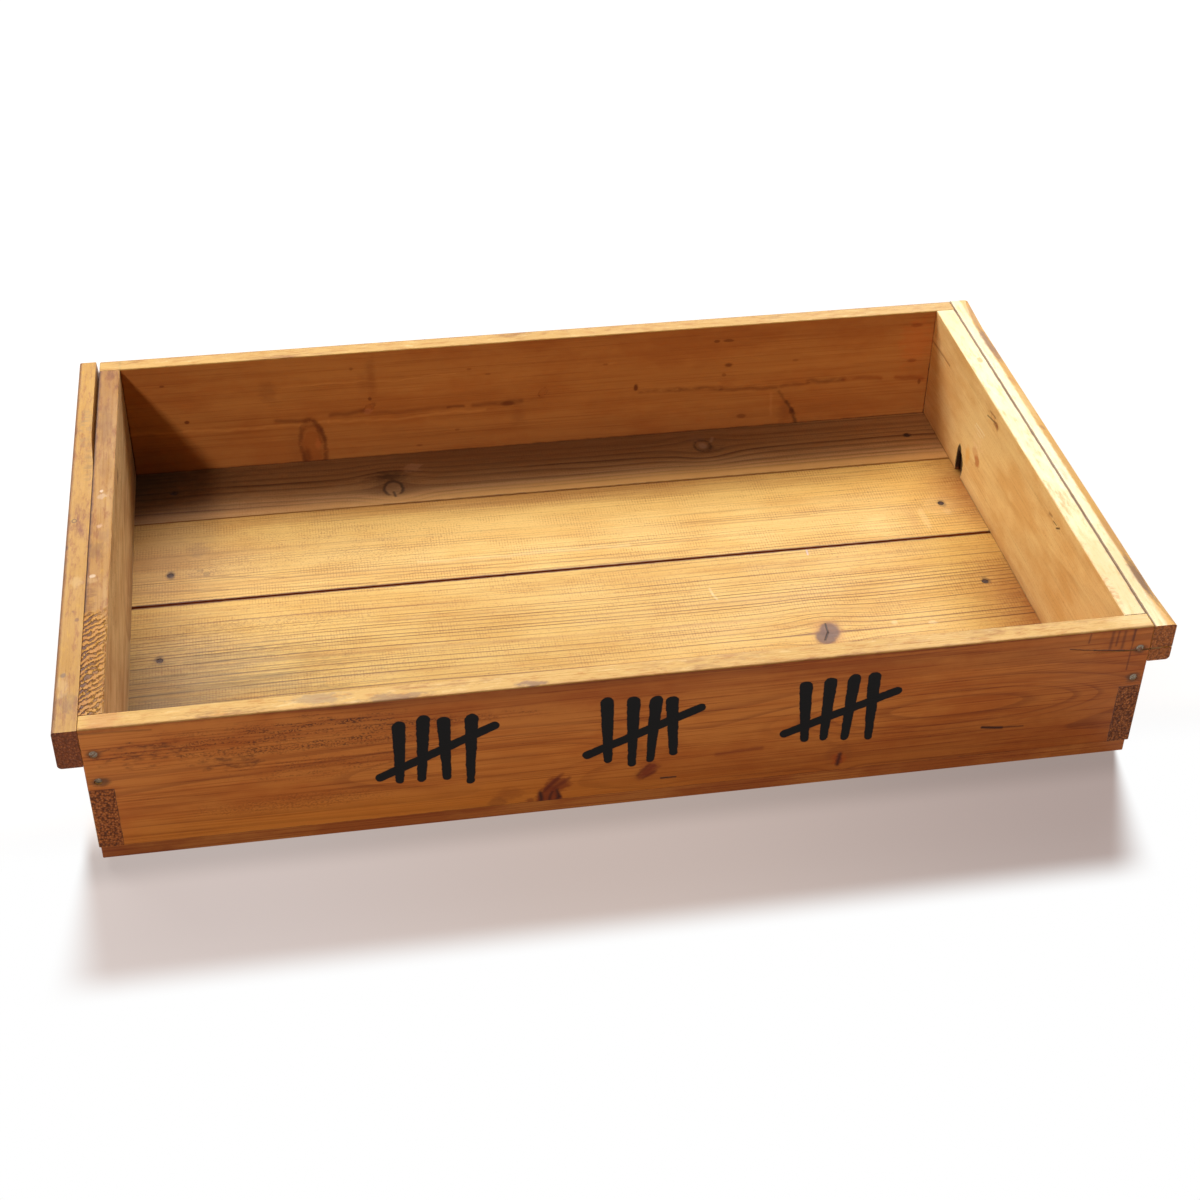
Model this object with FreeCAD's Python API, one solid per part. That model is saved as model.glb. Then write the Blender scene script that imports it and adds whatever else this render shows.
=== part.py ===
import FreeCAD, Part
import math
import os
from FreeCAD import Vector

# Open wooden carrying tray, built from sawn softwood boards and round-headed nails.
# X runs along the tray, Y from its front to its rear and Z up. The origin is on the
# surface that the tray stands on, under its middle. All sizes are in millimetres.

left, right = -1, 1          # the ends, along X
front, rear = -1, 1          # the long faces, along Y

# Carcass
length = 600.0               # front and rear boards, end to end
width = 383.0                # front face to rear face
wall_height = 85.5           # height of the four side boards
long_board = 12.5            # thickness of the front and rear boards
end_board = 13.5             # thickness of the end boards
finger_height = 42.0         # lower finger, which an end board carries through the corner

# Floor boards, which run along the tray. The front one takes the width that the others leave.
floor_thickness = 9.0
floor_end_insets = {left: 1.2, right: 2.6}   # the boards stop short of the carcass
floor_gaps = {front: 1.9, rear: 0.8}         # shrinkage gaps on each side of the middle board
middle_floor_width = 91.0
rear_floor_width = 73.6

# Runners under the floor
runner_thickness = 4.0
runner_width = 36.0
runner_centre_inset = 36.0   # from an end face to the runner's middle
runner_end_setback = 17.0    # from the long faces, so that a stacked tray nests in the one below

# Hand rails outside both ends
rail_thickness = 13.3
rail_height = 25.5
rail_lower_corner = 2.6      # radius of the lower outer edge
rail_upper_corner = 1.4      # radius of the upper outer edge, where it isn't worn
rail_end_wear = 1.9          # width of the slope that hands wore on the right rail, at its ends
rail_hand_wear = 6.8         # the same along the middle
rail_wear_slope = 0.5        # drop of that slope over its width
rail_wear_start = 35.0       # from the rail's end to where the slope is nearly at its widest
rail_relief = 2.4            # the left rail stands off its end board this far at the rear, at the top
rail_relief_length = 88.0    # length of the stretch that stands off
rail_relief_run_out = 48.0   # length over which it comes back to the board
rail_relief_steps = 4        # stations of that length

# Edges
eased_edge = 1.0             # rim and corners of the carcass
seam_edge = 0.5              # edges along the seam of rail and end board, and inside the rim
worn_floor_edge = 1.6        # lower edge of the floor's outline

# Nails
shank_radius = 1.0
shank_facets = 6
head_radius = 2.3
head_facets = 12
head_thickness = 0.9
point_length = 3.0
set_depth = 0.3              # how far a head lies below the surface
sunk_depth = 1.4             # the same for one that was driven too far
box_nail = 32.0              # nails through the walls and up through the floor
rail_nail_end_wood = 2.5     # wood left in front of a rail nail's point
runner_nail_end_wood = 0.7   # wood left under a runner nail's point

# Places of the corner nails
finger_nail_inset = 6.3      # from the outer face of the board that the nail joins
upper_nail_drops = {left: 17.5, right: 15.0}     # from the rim
lower_nail_rises = {left: 6.5, right: 6.8}       # from the lap
finger_nail_edge = 11.0      # from the lap and from the foot of the walls

# Places of the rail nails, along the rail's middle
rail_nail_count = 4
rail_nail_end_inset = 42.0

# Places of the floor nails, driven up into the walls
long_floor_nail_count = 6
long_floor_nail_end_inset = 46.0
end_floor_nail_inset = 7.5   # from the outer face of the end board
end_floor_nail_edge = 28.0   # from a floor board's edge, where the board takes two
narrow_floor_board = 120.0   # boards narrower than this take one nail at each end

# Places of the runner nails, two in a wide floor board and one in a narrow one, and how far
# each strays towards the tray's middle and towards its rear
wide_board_nail_edge = 55.0
narrow_board_nail_edge = 34.0    # from the board's front edge
runner_nail_strays = {
    left: ((0.0, 0.0), (-4.4, -0.6), (1.8, -3.4), (3.7, 0.7)),
    right: ((1.0, 0.0), (-1.2, 2.6), (0.4, 3.2), (-1.5, -0.6)),
}

# Damage from use
split_width = 0.7            # opening of the split at the right front corner
split_drop = 16.2            # from the rim
front_split_length = 42.0
rail_split_length = 34.0
split_depth = 6.0            # into the front board
chip_from_rear = 94.0        # middle of the chip in the right end board's foot
chip_foot_width = 12.5
chip_top_width = 6.5
chip_height = 18.5
chip_depth = 7.0
chip_narrowing = 0.7         # size of the chip's floor against its mouth
cut_margin = 1.0             # how far a cutting shape stands clear of the wood

# Levels and faces that follow from the sizes above
floor_bottom = runner_thickness
floor_top = floor_bottom + floor_thickness
lap_level = floor_top + finger_height
rim = floor_top + wall_height
rail_bottom = rim - rail_height
half_length = length / 2
half_width = width / 2
inner_half_length = half_length - end_board
inner_half_width = half_width - long_board


def box(x0, x1, y0, y1, z0, z1):
    low = Vector(min(x0, x1), min(y0, y1), min(z0, z1))
    return Part.makeBox(abs(x1 - x0), abs(y1 - y0), abs(z1 - z0), low)


def face_of(points):
    corners = [Vector(*point) for point in points]
    return Part.Face(Part.makePolygon(corners + corners[:1]))


def near(a, b):
    return abs(a - b) < 1e-4


# Straight edges parallel to an axis, those whose middle passes the test.
def edges_along(shape, axis, test):
    found = []
    for edge in shape.Edges:
        run = edge.Vertexes[-1].Point - edge.Vertexes[0].Point
        straight = near(edge.Length, run.Length)
        if straight and near(run.cross(axis).Length, 0) and test(edge.CenterOfMass):
            found.append(edge)
    return found


def rounded(shape, radius, axis, test):
    return shape.makeFillet(radius, edges_along(shape, axis, test))


def bevelled(shape, size, axis, test):
    return shape.makeChamfer(size, edges_along(shape, axis, test))


along_x = Vector(1, 0, 0)
along_y = Vector(0, 1, 0)
along_z = Vector(0, 0, 1)


def ring(radius, facets, level):
    turns = [2 * math.pi * index / facets for index in range(facets)]
    corners = [Vector(radius * math.cos(turn), radius * math.sin(turn), level) for turn in turns]
    return Part.makePolygon(corners + corners[:1])


def prism(radius, facets, low, high):
    return Part.Face(ring(radius, facets, low)).extrude(along_z * (high - low))


# A nail is kept with the recess that its head leaves in the wood, so that every board it
# passes is cut by the same shape.
class Nail:
    def __init__(self, place, direction, nail_length, depth=set_depth):
        point_start = nail_length - point_length
        head = prism(head_radius, head_facets, 0, head_thickness)
        shank = prism(shank_radius, shank_facets, head_thickness, point_start)
        tip = Part.Vertex(0, 0, nail_length)
        point = Part.makeLoft([ring(shank_radius, shank_facets, point_start), tip], True, True)
        turn = FreeCAD.Rotation(along_z, direction)
        seat = FreeCAD.Placement(place + direction * depth, turn)
        self.solid = head.multiFuse([shank, point]).removeSplitter()
        self.solid.Placement = seat
        self.recess = prism(head_radius, head_facets, -depth - cut_margin, 0)
        self.recess.Placement = seat


def spaced(first, last, count):
    step = (last - first) / (count - 1)
    return [first + step * index for index in range(count)]


# Front and rear boards: the upper half runs out to the tray's ends, and the lower half
# stops between the end boards.
def long_wall(side):
    outer = side * half_width
    inner = side * inner_half_width
    upper = box(-half_length, half_length, outer, inner, lap_level, rim)
    lower = box(-inner_half_length, inner_half_length, outer, inner, floor_top, lap_level)
    wall = upper.fuse(lower).removeSplitter()
    wall = rounded(
        wall, eased_edge, along_z, lambda p: near(abs(p.x), half_length) and near(p.y, outer))
    wall = rounded(wall, eased_edge, along_x, lambda p: near(p.z, rim) and near(p.y, outer))
    return bevelled(wall, seam_edge, along_x, lambda p: near(p.z, rim) and near(p.y, inner))


# End boards: the lower half runs out to the front and rear faces.
def end_wall(side):
    outer = side * half_length
    inner = side * inner_half_length
    upper = box(outer, inner, -inner_half_width, inner_half_width, lap_level, rim)
    lower = box(outer, inner, -half_width, half_width, floor_top, lap_level)
    wall = upper.fuse(lower).removeSplitter()
    wall = rounded(
        wall, eased_edge, along_z, lambda p: near(abs(p.y), half_width) and near(p.x, outer))
    return bevelled(wall, seam_edge, along_y, lambda p: near(p.z, rim))


# The wedge between the left rail and its end board. It is open at the top towards the rear,
# closes at the rail's foot, and runs out smoothly towards the front.
def rail_wedge():
    stand_start = half_width - rail_relief_length
    stations = []
    for step in range(rail_relief_steps + 1):
        share = step / rail_relief_steps
        y = stand_start - rail_relief_run_out * (1 - share)
        stations.append((y, rail_relief * share * share * (3 - 2 * share)))
    stations[0] = (stations[0][0], rail_relief / 100)
    stations.append((half_width + cut_margin, rail_relief))
    sections = []
    for y, opening in stations:
        rise = rail_height + cut_margin
        corners = [
            Vector(-half_length + cut_margin, y, rail_bottom),
            Vector(-half_length, y, rail_bottom),
            Vector(-half_length - opening * rise / rail_height, y, rail_bottom + rise),
            Vector(-half_length + cut_margin, y, rail_bottom + rise),
        ]
        sections.append(Part.makePolygon(corners + corners[:1]))
    return Part.makeLoft(sections, True, True)


# The left rail leans away from its end board at the rear, because it has warped.
def left_rail():
    outer = -half_length - rail_thickness
    rail = box(outer, -half_length, -half_width, half_width, rail_bottom, rim)
    rail = rounded(
        rail, rail_upper_corner, along_y, lambda p: near(p.z, rim) and near(p.x, outer))
    rail = rounded(
        rail, rail_lower_corner, along_y, lambda p: near(p.z, rail_bottom) and near(p.x, outer))
    return rail.cut(rail_wedge())


# One section of the right rail, with the slope that hands wore on its upper outer edge.
def rail_section(y, wear):
    seat = half_length
    outer = seat + rail_thickness
    turn = rail_lower_corner
    middle = turn * (1 - 0.5 ** 0.5)
    corner = Part.Arc(
        Vector(outer - turn, y, rail_bottom),
        Vector(outer - middle, y, rail_bottom + middle),
        Vector(outer, y, rail_bottom + turn))
    sides = Part.makePolygon([
        Vector(outer, y, rail_bottom + turn),
        Vector(outer, y, rim - wear * rail_wear_slope),
        Vector(outer - wear, y, rim),
        Vector(seat, y, rim),
        Vector(seat, y, rail_bottom),
        Vector(outer - turn, y, rail_bottom),
    ])
    return Part.Wire([corner.toShape()] + sides.Edges)


def right_rail():
    worn_end = half_width - rail_wear_start
    sections = [
        rail_section(-half_width, rail_end_wear),
        rail_section(-worn_end, rail_hand_wear),
        rail_section(worn_end, rail_hand_wear),
        rail_section(half_width, rail_end_wear),
    ]
    return Part.makeLoft(sections, True, True)


# The chip is a hollow broken out of the right end board's foot, deepest at the board's
# inner face.
def chip():
    middle = half_width - chip_from_rear

    def section(x, scale):
        foot = chip_foot_width / 2 * scale
        top = chip_top_width / 2 * scale
        low = floor_top - cut_margin
        high = floor_top + chip_height * scale
        corners = [
            Vector(x, middle - foot, low),
            Vector(x, middle + foot, low),
            Vector(x, middle + top, high),
            Vector(x, middle - top, high),
        ]
        return Part.makePolygon(corners + corners[:1])

    mouth = section(inner_half_length - cut_margin, 1.0)
    bottom = section(inner_half_length + chip_depth, chip_narrowing)
    return Part.makeLoft([mouth, bottom], True, True)


# The split opens at the right front corner and closes along the grain of each board.
def front_split():
    level = rim - split_drop
    mouth = half_length + cut_margin
    outside = -half_width - cut_margin
    return face_of([
        (mouth, outside, level - split_width / 2),
        (mouth, outside, level + split_width / 2),
        (half_length - front_split_length, outside, level + split_width / 2),
    ]).extrude(Vector(0, split_depth + cut_margin, 0))


def rail_split():
    level = rim - split_drop
    seat = half_length - cut_margin
    outside = -half_width - cut_margin
    return face_of([
        (seat, outside, level - split_width / 2),
        (seat, outside, level + split_width / 2),
        (seat, -half_width + rail_split_length, level),
    ]).extrude(Vector(rail_thickness + 2 * cut_margin, 0, 0))


# Front and rear edge of each floor board, from the front face backwards.
def floor_spans():
    rear_start = half_width - rear_floor_width
    middle_end = rear_start - floor_gaps[rear]
    middle_start = middle_end - middle_floor_width
    return {
        "front": (-half_width, middle_start - floor_gaps[front]),
        "middle": (middle_start, middle_end),
        "rear": (rear_start, half_width),
    }


def floor_plank(span):
    ends = [side * (half_length - floor_end_insets[side]) for side in (left, right)]
    plank = box(*ends, span[0], span[1], floor_bottom, floor_top)

    def outside(p):
        at_end = near(p.x, ends[0]) or near(p.x, ends[1])
        at_face = near(abs(p.y), half_width)
        return near(p.z, floor_bottom) and (at_end or at_face)

    worn = edges_along(plank, along_x, outside) + edges_along(plank, along_y, outside)
    return plank.makeFillet(worn_floor_edge, worn)


def runner(side):
    middle = side * (half_length - runner_centre_inset)
    end = half_width - runner_end_setback
    strip = box(
        middle - runner_width / 2, middle + runner_width / 2, -end, end, 0, floor_bottom)
    return bevelled(strip, seam_edge, along_y, lambda p: near(p.z, 0))


# Nails from a long face into the end grain of the end boards' upper halves.
def corner_nails(face):
    nails = []
    for side in (left, right):
        x = side * (half_length - finger_nail_inset)
        upper = rim - upper_nail_drops[side]
        lower = lap_level + lower_nail_rises[side]
        lower_depth = sunk_depth if (face, side) == (front, left) else set_depth
        for z, depth in ((upper, set_depth), (lower, lower_depth)):
            place = Vector(x, face * half_width, z)
            nails.append(Nail(place, along_y * -face, box_nail, depth))
    return nails


# Nails from an end face, through the lower finger, into the long boards' lower halves.
def finger_nails(side):
    nails = []
    for face in (front, rear):
        y = face * (half_width - finger_nail_inset)
        for z in (floor_top + finger_nail_edge, lap_level - finger_nail_edge):
            place = Vector(side * half_length, y, z)
            nails.append(Nail(place, along_x * -side, box_nail))
    return nails


def rail_nails(side):
    outer = side * (half_length + rail_thickness)
    nail_length = rail_thickness + end_board - rail_nail_end_wood
    reach = half_width - rail_nail_end_inset
    middle = (rim + rail_bottom) / 2
    return [
        Nail(Vector(outer, y, middle), along_x * -side, nail_length)
        for y in spaced(-reach, reach, rail_nail_count)]


# Nails from below, through the floor, into a long wall.
def long_floor_nails(face):
    y = face * (half_width - finger_nail_inset)
    reach = half_length - long_floor_nail_end_inset
    return [
        Nail(Vector(x, y, floor_bottom), along_z, box_nail)
        for x in spaced(-reach, reach, long_floor_nail_count)]


# Nails from below, through each floor board's end, into an end wall.
def end_floor_nails(side):
    x = side * (half_length - end_floor_nail_inset)
    nails = []
    for start, end in floor_spans().values():
        places = [start + end_floor_nail_edge, end - end_floor_nail_edge]
        if end - start < narrow_floor_board:
            places = [(start + end) / 2]
        nails += [Nail(Vector(x, y, floor_bottom), along_z, box_nail) for y in places]
    return nails


# Nails from inside the tray, down through the floor into a runner.
def runner_nails(side):
    nail_length = floor_thickness + runner_thickness - runner_nail_end_wood
    places = []
    for start, end in floor_spans().values():
        if end - start < narrow_floor_board:
            places.append(start + narrow_board_nail_edge)
        else:
            places += [start + wide_board_nail_edge, end - wide_board_nail_edge]
    nails = []
    for y, (inward, rearward) in zip(places, runner_nail_strays[side]):
        x = side * (half_length - runner_centre_inset - inward)
        nails.append(Nail(Vector(x, y + rearward, floor_top), along_z * -1, nail_length))
    return nails


def build():
    spans = floor_spans()
    boards = {
        "front_board": long_wall(front).cut(front_split()),
        "rear_board": long_wall(rear),
        "left_end_board": end_wall(left),
        "right_end_board": end_wall(right).cut(chip()),
        "left_hand_rail": left_rail(),
        "right_hand_rail": right_rail().cut(rail_split()),
        "floor_board_front": floor_plank(spans["front"]),
        "floor_board_middle": floor_plank(spans["middle"]),
        "floor_board_rear": floor_plank(spans["rear"]),
        "left_runner": runner(left),
        "right_runner": runner(right),
    }
    nails = {
        "front_corner_nails": corner_nails(front),
        "rear_corner_nails": corner_nails(rear),
        "left_finger_nails": finger_nails(left),
        "right_finger_nails": finger_nails(right),
        "left_rail_nails": rail_nails(left),
        "right_rail_nails": rail_nails(right),
        "front_floor_nails": long_floor_nails(front),
        "rear_floor_nails": long_floor_nails(rear),
        "left_end_floor_nails": end_floor_nails(left),
        "right_end_floor_nails": end_floor_nails(right),
        "left_runner_nails": runner_nails(left),
        "right_runner_nails": runner_nails(right),
    }
    nodes = {}
    for name, board in boards.items():
        tools = []
        for nail in sum(nails.values(), []):
            if nail.recess.BoundBox.intersect(board.BoundBox):
                tools.append(nail.recess)
            if nail.solid.BoundBox.intersect(board.BoundBox):
                tools.append(nail.solid)
        nodes[name] = board.cut(tools) if tools else board
    for name, group in nails.items():
        nodes[name] = Part.makeCompound([nail.solid for nail in group])
    return nodes


def save(nodes):
    os.makedirs("parts", exist_ok=True)
    for name, shape in nodes.items():
        shape.exportStep("parts/" + name + ".step")
        print(name, len(shape.Solids), "solids", round(shape.Volume), "mm3", shape.isValid())


save(build())
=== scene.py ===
import math
import bpy
from mathutils import Matrix, Vector


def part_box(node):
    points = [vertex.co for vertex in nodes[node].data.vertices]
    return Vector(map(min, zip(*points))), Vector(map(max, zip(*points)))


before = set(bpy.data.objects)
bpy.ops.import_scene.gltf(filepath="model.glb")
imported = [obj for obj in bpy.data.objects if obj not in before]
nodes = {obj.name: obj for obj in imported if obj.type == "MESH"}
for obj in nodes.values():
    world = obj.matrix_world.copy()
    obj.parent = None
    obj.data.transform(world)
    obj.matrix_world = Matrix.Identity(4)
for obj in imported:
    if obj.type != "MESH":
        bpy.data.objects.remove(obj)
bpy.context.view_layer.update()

print("frame loaded:", len(nodes), "nodes")


# Display colour, 0 to 255, to linear light.
def shade(*display):
    linear = [((v / 255 + 0.055) / 1.055) ** 2.4 if v > 10 else v / 3294.6 for v in display]
    return (*linear, 1.0)


black, white = (0.0, 0.0, 0.0, 1.0), (1.0, 1.0, 1.0, 1.0)


# One number or vector that varies over a surface. Sums and products of it add Math nodes.
class Signal:
    def __init__(self, paint, socket):
        self.paint, self.socket = paint, socket

    def __add__(self, other):
        return self.paint.maths("ADD", self, other)

    def __sub__(self, other):
        return self.paint.maths("SUBTRACT", self, other)

    def __rsub__(self, other):
        return self.paint.maths("SUBTRACT", other, self)

    def __mul__(self, other):
        return self.paint.maths("MULTIPLY", self, other)

    def __truediv__(self, other):
        return self.paint.maths("DIVIDE", self, other)

    def __neg__(self):
        return self.paint.maths("MULTIPLY", self, -1.0)

    def __abs__(self):
        return self.paint.maths("ABSOLUTE", self)

    __radd__ = __add__
    __rmul__ = __mul__


# A tree of nodes under construction. Places in it are in millimetres.
class NodeTree:
    def __init__(self, tree):
        self.tree = tree
        tree.nodes.clear()

    # Any node: its type, its settings, which are set first, and the values or links of its sockets.
    def add(self, kind, settings=(), sockets=(), output=0):
        node = self.tree.nodes.new("ShaderNode" + kind)
        for name, value in dict(settings).items():
            setattr(node, name, value)
        for key, value in dict(sockets).items():
            self.feed(node.inputs[key], value)
        return Signal(self, node.outputs[output])

    def feed(self, socket, value):
        if isinstance(value, Signal):
            self.tree.links.new(value.socket, socket)
        else:
            socket.default_value = value

    def outputs(self, kind, *names):
        made = self.add(kind).socket.node
        return [Signal(self, made.outputs[name]) for name in names]

    def maths(self, operation, *values):
        return self.add("Math", {"operation": operation}, dict(enumerate(values)))

    # Runs smoothly from 0 where the value is at low to the most where it is at high; low may be the larger.
    def smooth(self, value, low, high, most=1.0):
        settings = {"interpolation_type": "SMOOTHSTEP"}
        return self.add("MapRange", settings, {0: value, 1: low, 2: high, 4: most})

    def scale(self, value, low, high, first, last):
        return self.add("MapRange", {"clamp": True}, {0: value, 1: low, 2: high, 3: first, 4: last})

    def most(self, *values):
        result = values[0]
        for value in values[1:]:
            result = self.maths("MAXIMUM", result, value)
        return result

    def within(self, value, low, high):
        return self.maths("MINIMUM", self.maths("MAXIMUM", value, low), high)

    def reach(self, u, v):
        return self.maths("SQRT", u * u + v * v)

    def vector(self, *parts):
        return self.add("CombineXYZ", (), dict(enumerate(parts)))

    def parts(self, vector):
        node = self.add("SeparateXYZ", (), {0: vector}).socket.node
        return [Signal(self, socket) for socket in node.outputs]

    # Noise about 0.5, with lumps of the given sizes along the three parts of a place.
    def noise(self, place, sizes, detail=2.0, roughness=0.5, seed=0.0):
        moved = self.add("Mapping", (), {
            "Vector": place, "Scale": [1 / size for size in sizes],
            "Location": (seed * 3.17, seed * 5.31, seed * 1.73)})
        return self.add("TexNoise", {"noise_dimensions": "3D"}, {
            "Vector": moved, "Scale": 1.0, "Detail": detail, "Roughness": roughness})

    def noiseAlong(self, value, size, detail=1.0, seed=0.0):
        return self.add("TexNoise", {"noise_dimensions": "1D"}, {
            "W": value / size + seed * 7.7, "Scale": 1.0, "Detail": detail})

    # The colour of top over base where the mask is 1.
    def over(self, base, top, mask, blend="MIX"):
        settings = {"data_type": "RGBA", "blend_type": blend, "clamp_factor": True}
        return self.add("Mix", settings, {0: mask, 6: base, 7: top}, 2)

    # Distance from a point in its plane, 1 on the rim of an oval of the given half sizes.
    def oval(self, place, at, size):
        around = self.add("VectorMath", {"operation": "MULTIPLY_ADD"}, {
            0: place, 1: (1 / size[0], 1 / size[1], 0.0), 2: (-at[0] / size[0], -at[1] / size[1], 0.0)})
        return self.add("VectorMath", {"operation": "LENGTH"}, {0: around}, 1)

    # 1 on a straight stroke between two points of a plane, 0 past its half width.
    def stroke(self, place, start, end, half, soft=0.4, depth=1.0):
        run = (end[0] - start[0], end[1] - start[1], 0.0)
        square = run[0] * run[0] + run[1] * run[1]
        along = [part / square for part in run]
        since = self.add("VectorMath", {"operation": "SUBTRACT"}, {0: place, 1: (start[0], start[1], 0.0)})
        share = self.add("VectorMath", {"operation": "DOT_PRODUCT"}, {0: since, 1: along}, 1)
        share = self.add("Math", {"operation": "MULTIPLY", "use_clamp": True}, {0: share, 1: 1.0})
        nearest = self.add("VectorMath", {"operation": "SCALE"}, {0: run, "Scale": share})
        away = self.add("VectorMath", {"operation": "DISTANCE"}, {0: since, 1: nearest}, 1)
        return self.smooth(away, half + soft, max(half - soft, 0.0), depth)

    # The object's own place, in millimetres, from its coordinates in metres.
    def millimetres(self, coordinates):
        return self.add("VectorMath", {"operation": "SCALE"}, {0: coordinates, "Scale": 1000.0})


# A material with one Principled shader.
class Paint(NodeTree):
    def __init__(self, name, **constants):
        self.material = bpy.data.materials.new(name)
        self.material.use_nodes = True
        super().__init__(self.material.node_tree)
        self.shader = self.tree.nodes.new("ShaderNodeBsdfPrincipled")
        self.output = self.tree.nodes.new("ShaderNodeOutputMaterial")
        self.tree.links.new(self.shader.outputs[0], self.output.inputs["Surface"])
        self.finish(**constants)

    def bump(self, height, strength=1.0):
        return self.add("Bump", (), {"Height": height, "Distance": 0.001, "Strength": strength})

    def finish(self, **surface):
        for socket, value in surface.items():
            self.feed(self.shader.inputs[socket.replace("_", " ")], value)
        return self.material


# The boards' lists hold knots, cracks, seams and patches, made by the next functions. Places and sizes are
# in millimetres in the plane of the seen face, colours run from 0 to 255, and depth says how strong it is.
plainKnot = {
    "depth": 1.0,                  # at 0 it bends the rings and isn't seen
    "spread": 2.6,                 # how far it presses the rings apart, in its own sizes
    "stretch": 1.5,                # how much further that goes along the grain
    "press": 0.75,                 # how hard it presses them
    "swell": 0.0,                  # how far it pushes them outwards instead, in millimetres
    "lean": 0.0,
    "turns": 3.5,                  # its own rings
    "wobble": 0.5,
    "rim": 1.0,
    "closed": 0.1,                 # how whole its rim is
    "gap": None,                   # the rim is open below this height
}


def knot(at, size, **more):
    return {**plainKnot, "at": at, "size": size, **more}


# A line. Its bite is how deep it cuts into the wood, and it is ragged, loose or wavy.
def crack(start, end, half=0.3, soft=0.35, depth=0.9, colour=(38, 22, 14), bite=0.4, bent="ragged"):
    return {"line": (start, end, half, soft, depth), "colour": shade(*colour), "bite": bite, "bent": bent}


# A soft vein that wavers with the grain.
def vein(start, end, half=0.4, soft=2.6, depth=0.6, colour=(92, 42, 18)):
    return crack(start, end, half, soft, depth, colour, 0.03, "wavy")


# A dark joint between two boards, on one side only where a side is named.
def seam(start, end, half, soft, depth, on=None):
    return (start, end, half, soft, depth, on)


# A ragged oval of another colour, or of the board's dirt. Streaks gives the sizes of the streaks that it is
# broken into, dots says how soft its dots are, and on names the side that it lies on.
def patch(at, size, depth, colour=None, ragged=1.4, hard=0.45, streaks=None, dots=None, on=None, blend="MIX"):
    return {
        "at": at, "size": size, "depth": depth, "colour": colour and shade(*colour), "ragged": ragged,
        "hard": hard, "streaks": streaks, "dots": dots, "on": on, "blend": blend}


# A soft, even darkening.
def wash(at, size, depth, colour, ragged=0.4, hard=0.0, on=None):
    return patch(at, size, depth, colour, ragged, hard, on=on, blend="MULTIPLY")


# What all the boards share. The axes are (along the grain, across the seen face, into the board).
timber = {
    "axes": (0, 2, 1),
    "pith": (-60.0, 140.0),        # the tree's middle, across and into the board
    "tilt": (0.0, 0.0),            # how fast that middle moves sideways along the grain
    "wander": 10.0,                # slow bending of the rings
    "ring": 4.5,                   # growth in a year
    "uneven": 1.2,                 # how much that varies, in rings
    "ripple": 0.5,                 # short waves of the rings, in rings
    "lateStart": 0.45,             # share of a ring where the dark wood begins
    "ringDepth": 0.6,              # how dark it gets
    "ringShare": None,             # (first place across, second, share of the darkness at each)
    "early": shade(214, 160, 96),
    "late": shade(164, 104, 52),
    "mottle": shade(214, 176, 138),
    "mottleAmount": 0.6,
    "fibre": 0.5,                  # fine dark lines
    "fibreColour": shade(184, 142, 104),
    "streak": 0.4,                 # wider soft lines
    "streakColour": shade(206, 170, 138),
    "pores": 0.3,
    "endGrain": shade(150, 88, 46),
    "dirt": shade(78, 50, 32),
    "edge": None,                  # colour of the faces across the board
    "chatter": 0.0,                # planer marks across the grain
    "chatterPitch": 1.9,
    "knots": (),
    "knotColour": shade(140, 72, 34),
    "knotRim": shade(74, 38, 20),
    "spots": (),                   # small knots: place, half sizes and depth in one row
    "cracks": (),
    "stainsAndShade": (),
    "facing": None,                # the side that all the stains and painted shade lie on
    "seams": (),
    "seamColour": shade(62, 32, 16),
    "hollows": (),                 # dark insides of chips
    "hollowDepth": (),             # painted shade inside chips
    "speckle": 0.0,                # small soft dark specks
    "pebbles": 0.95,               # how much the cut ends are speckled
    "relief": 0.10,                # height of the hard rings above the soft wood
    "rough": (0.42, 0.62),
    "shine": 0.25,
    "seed": 0.0,
}


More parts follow.
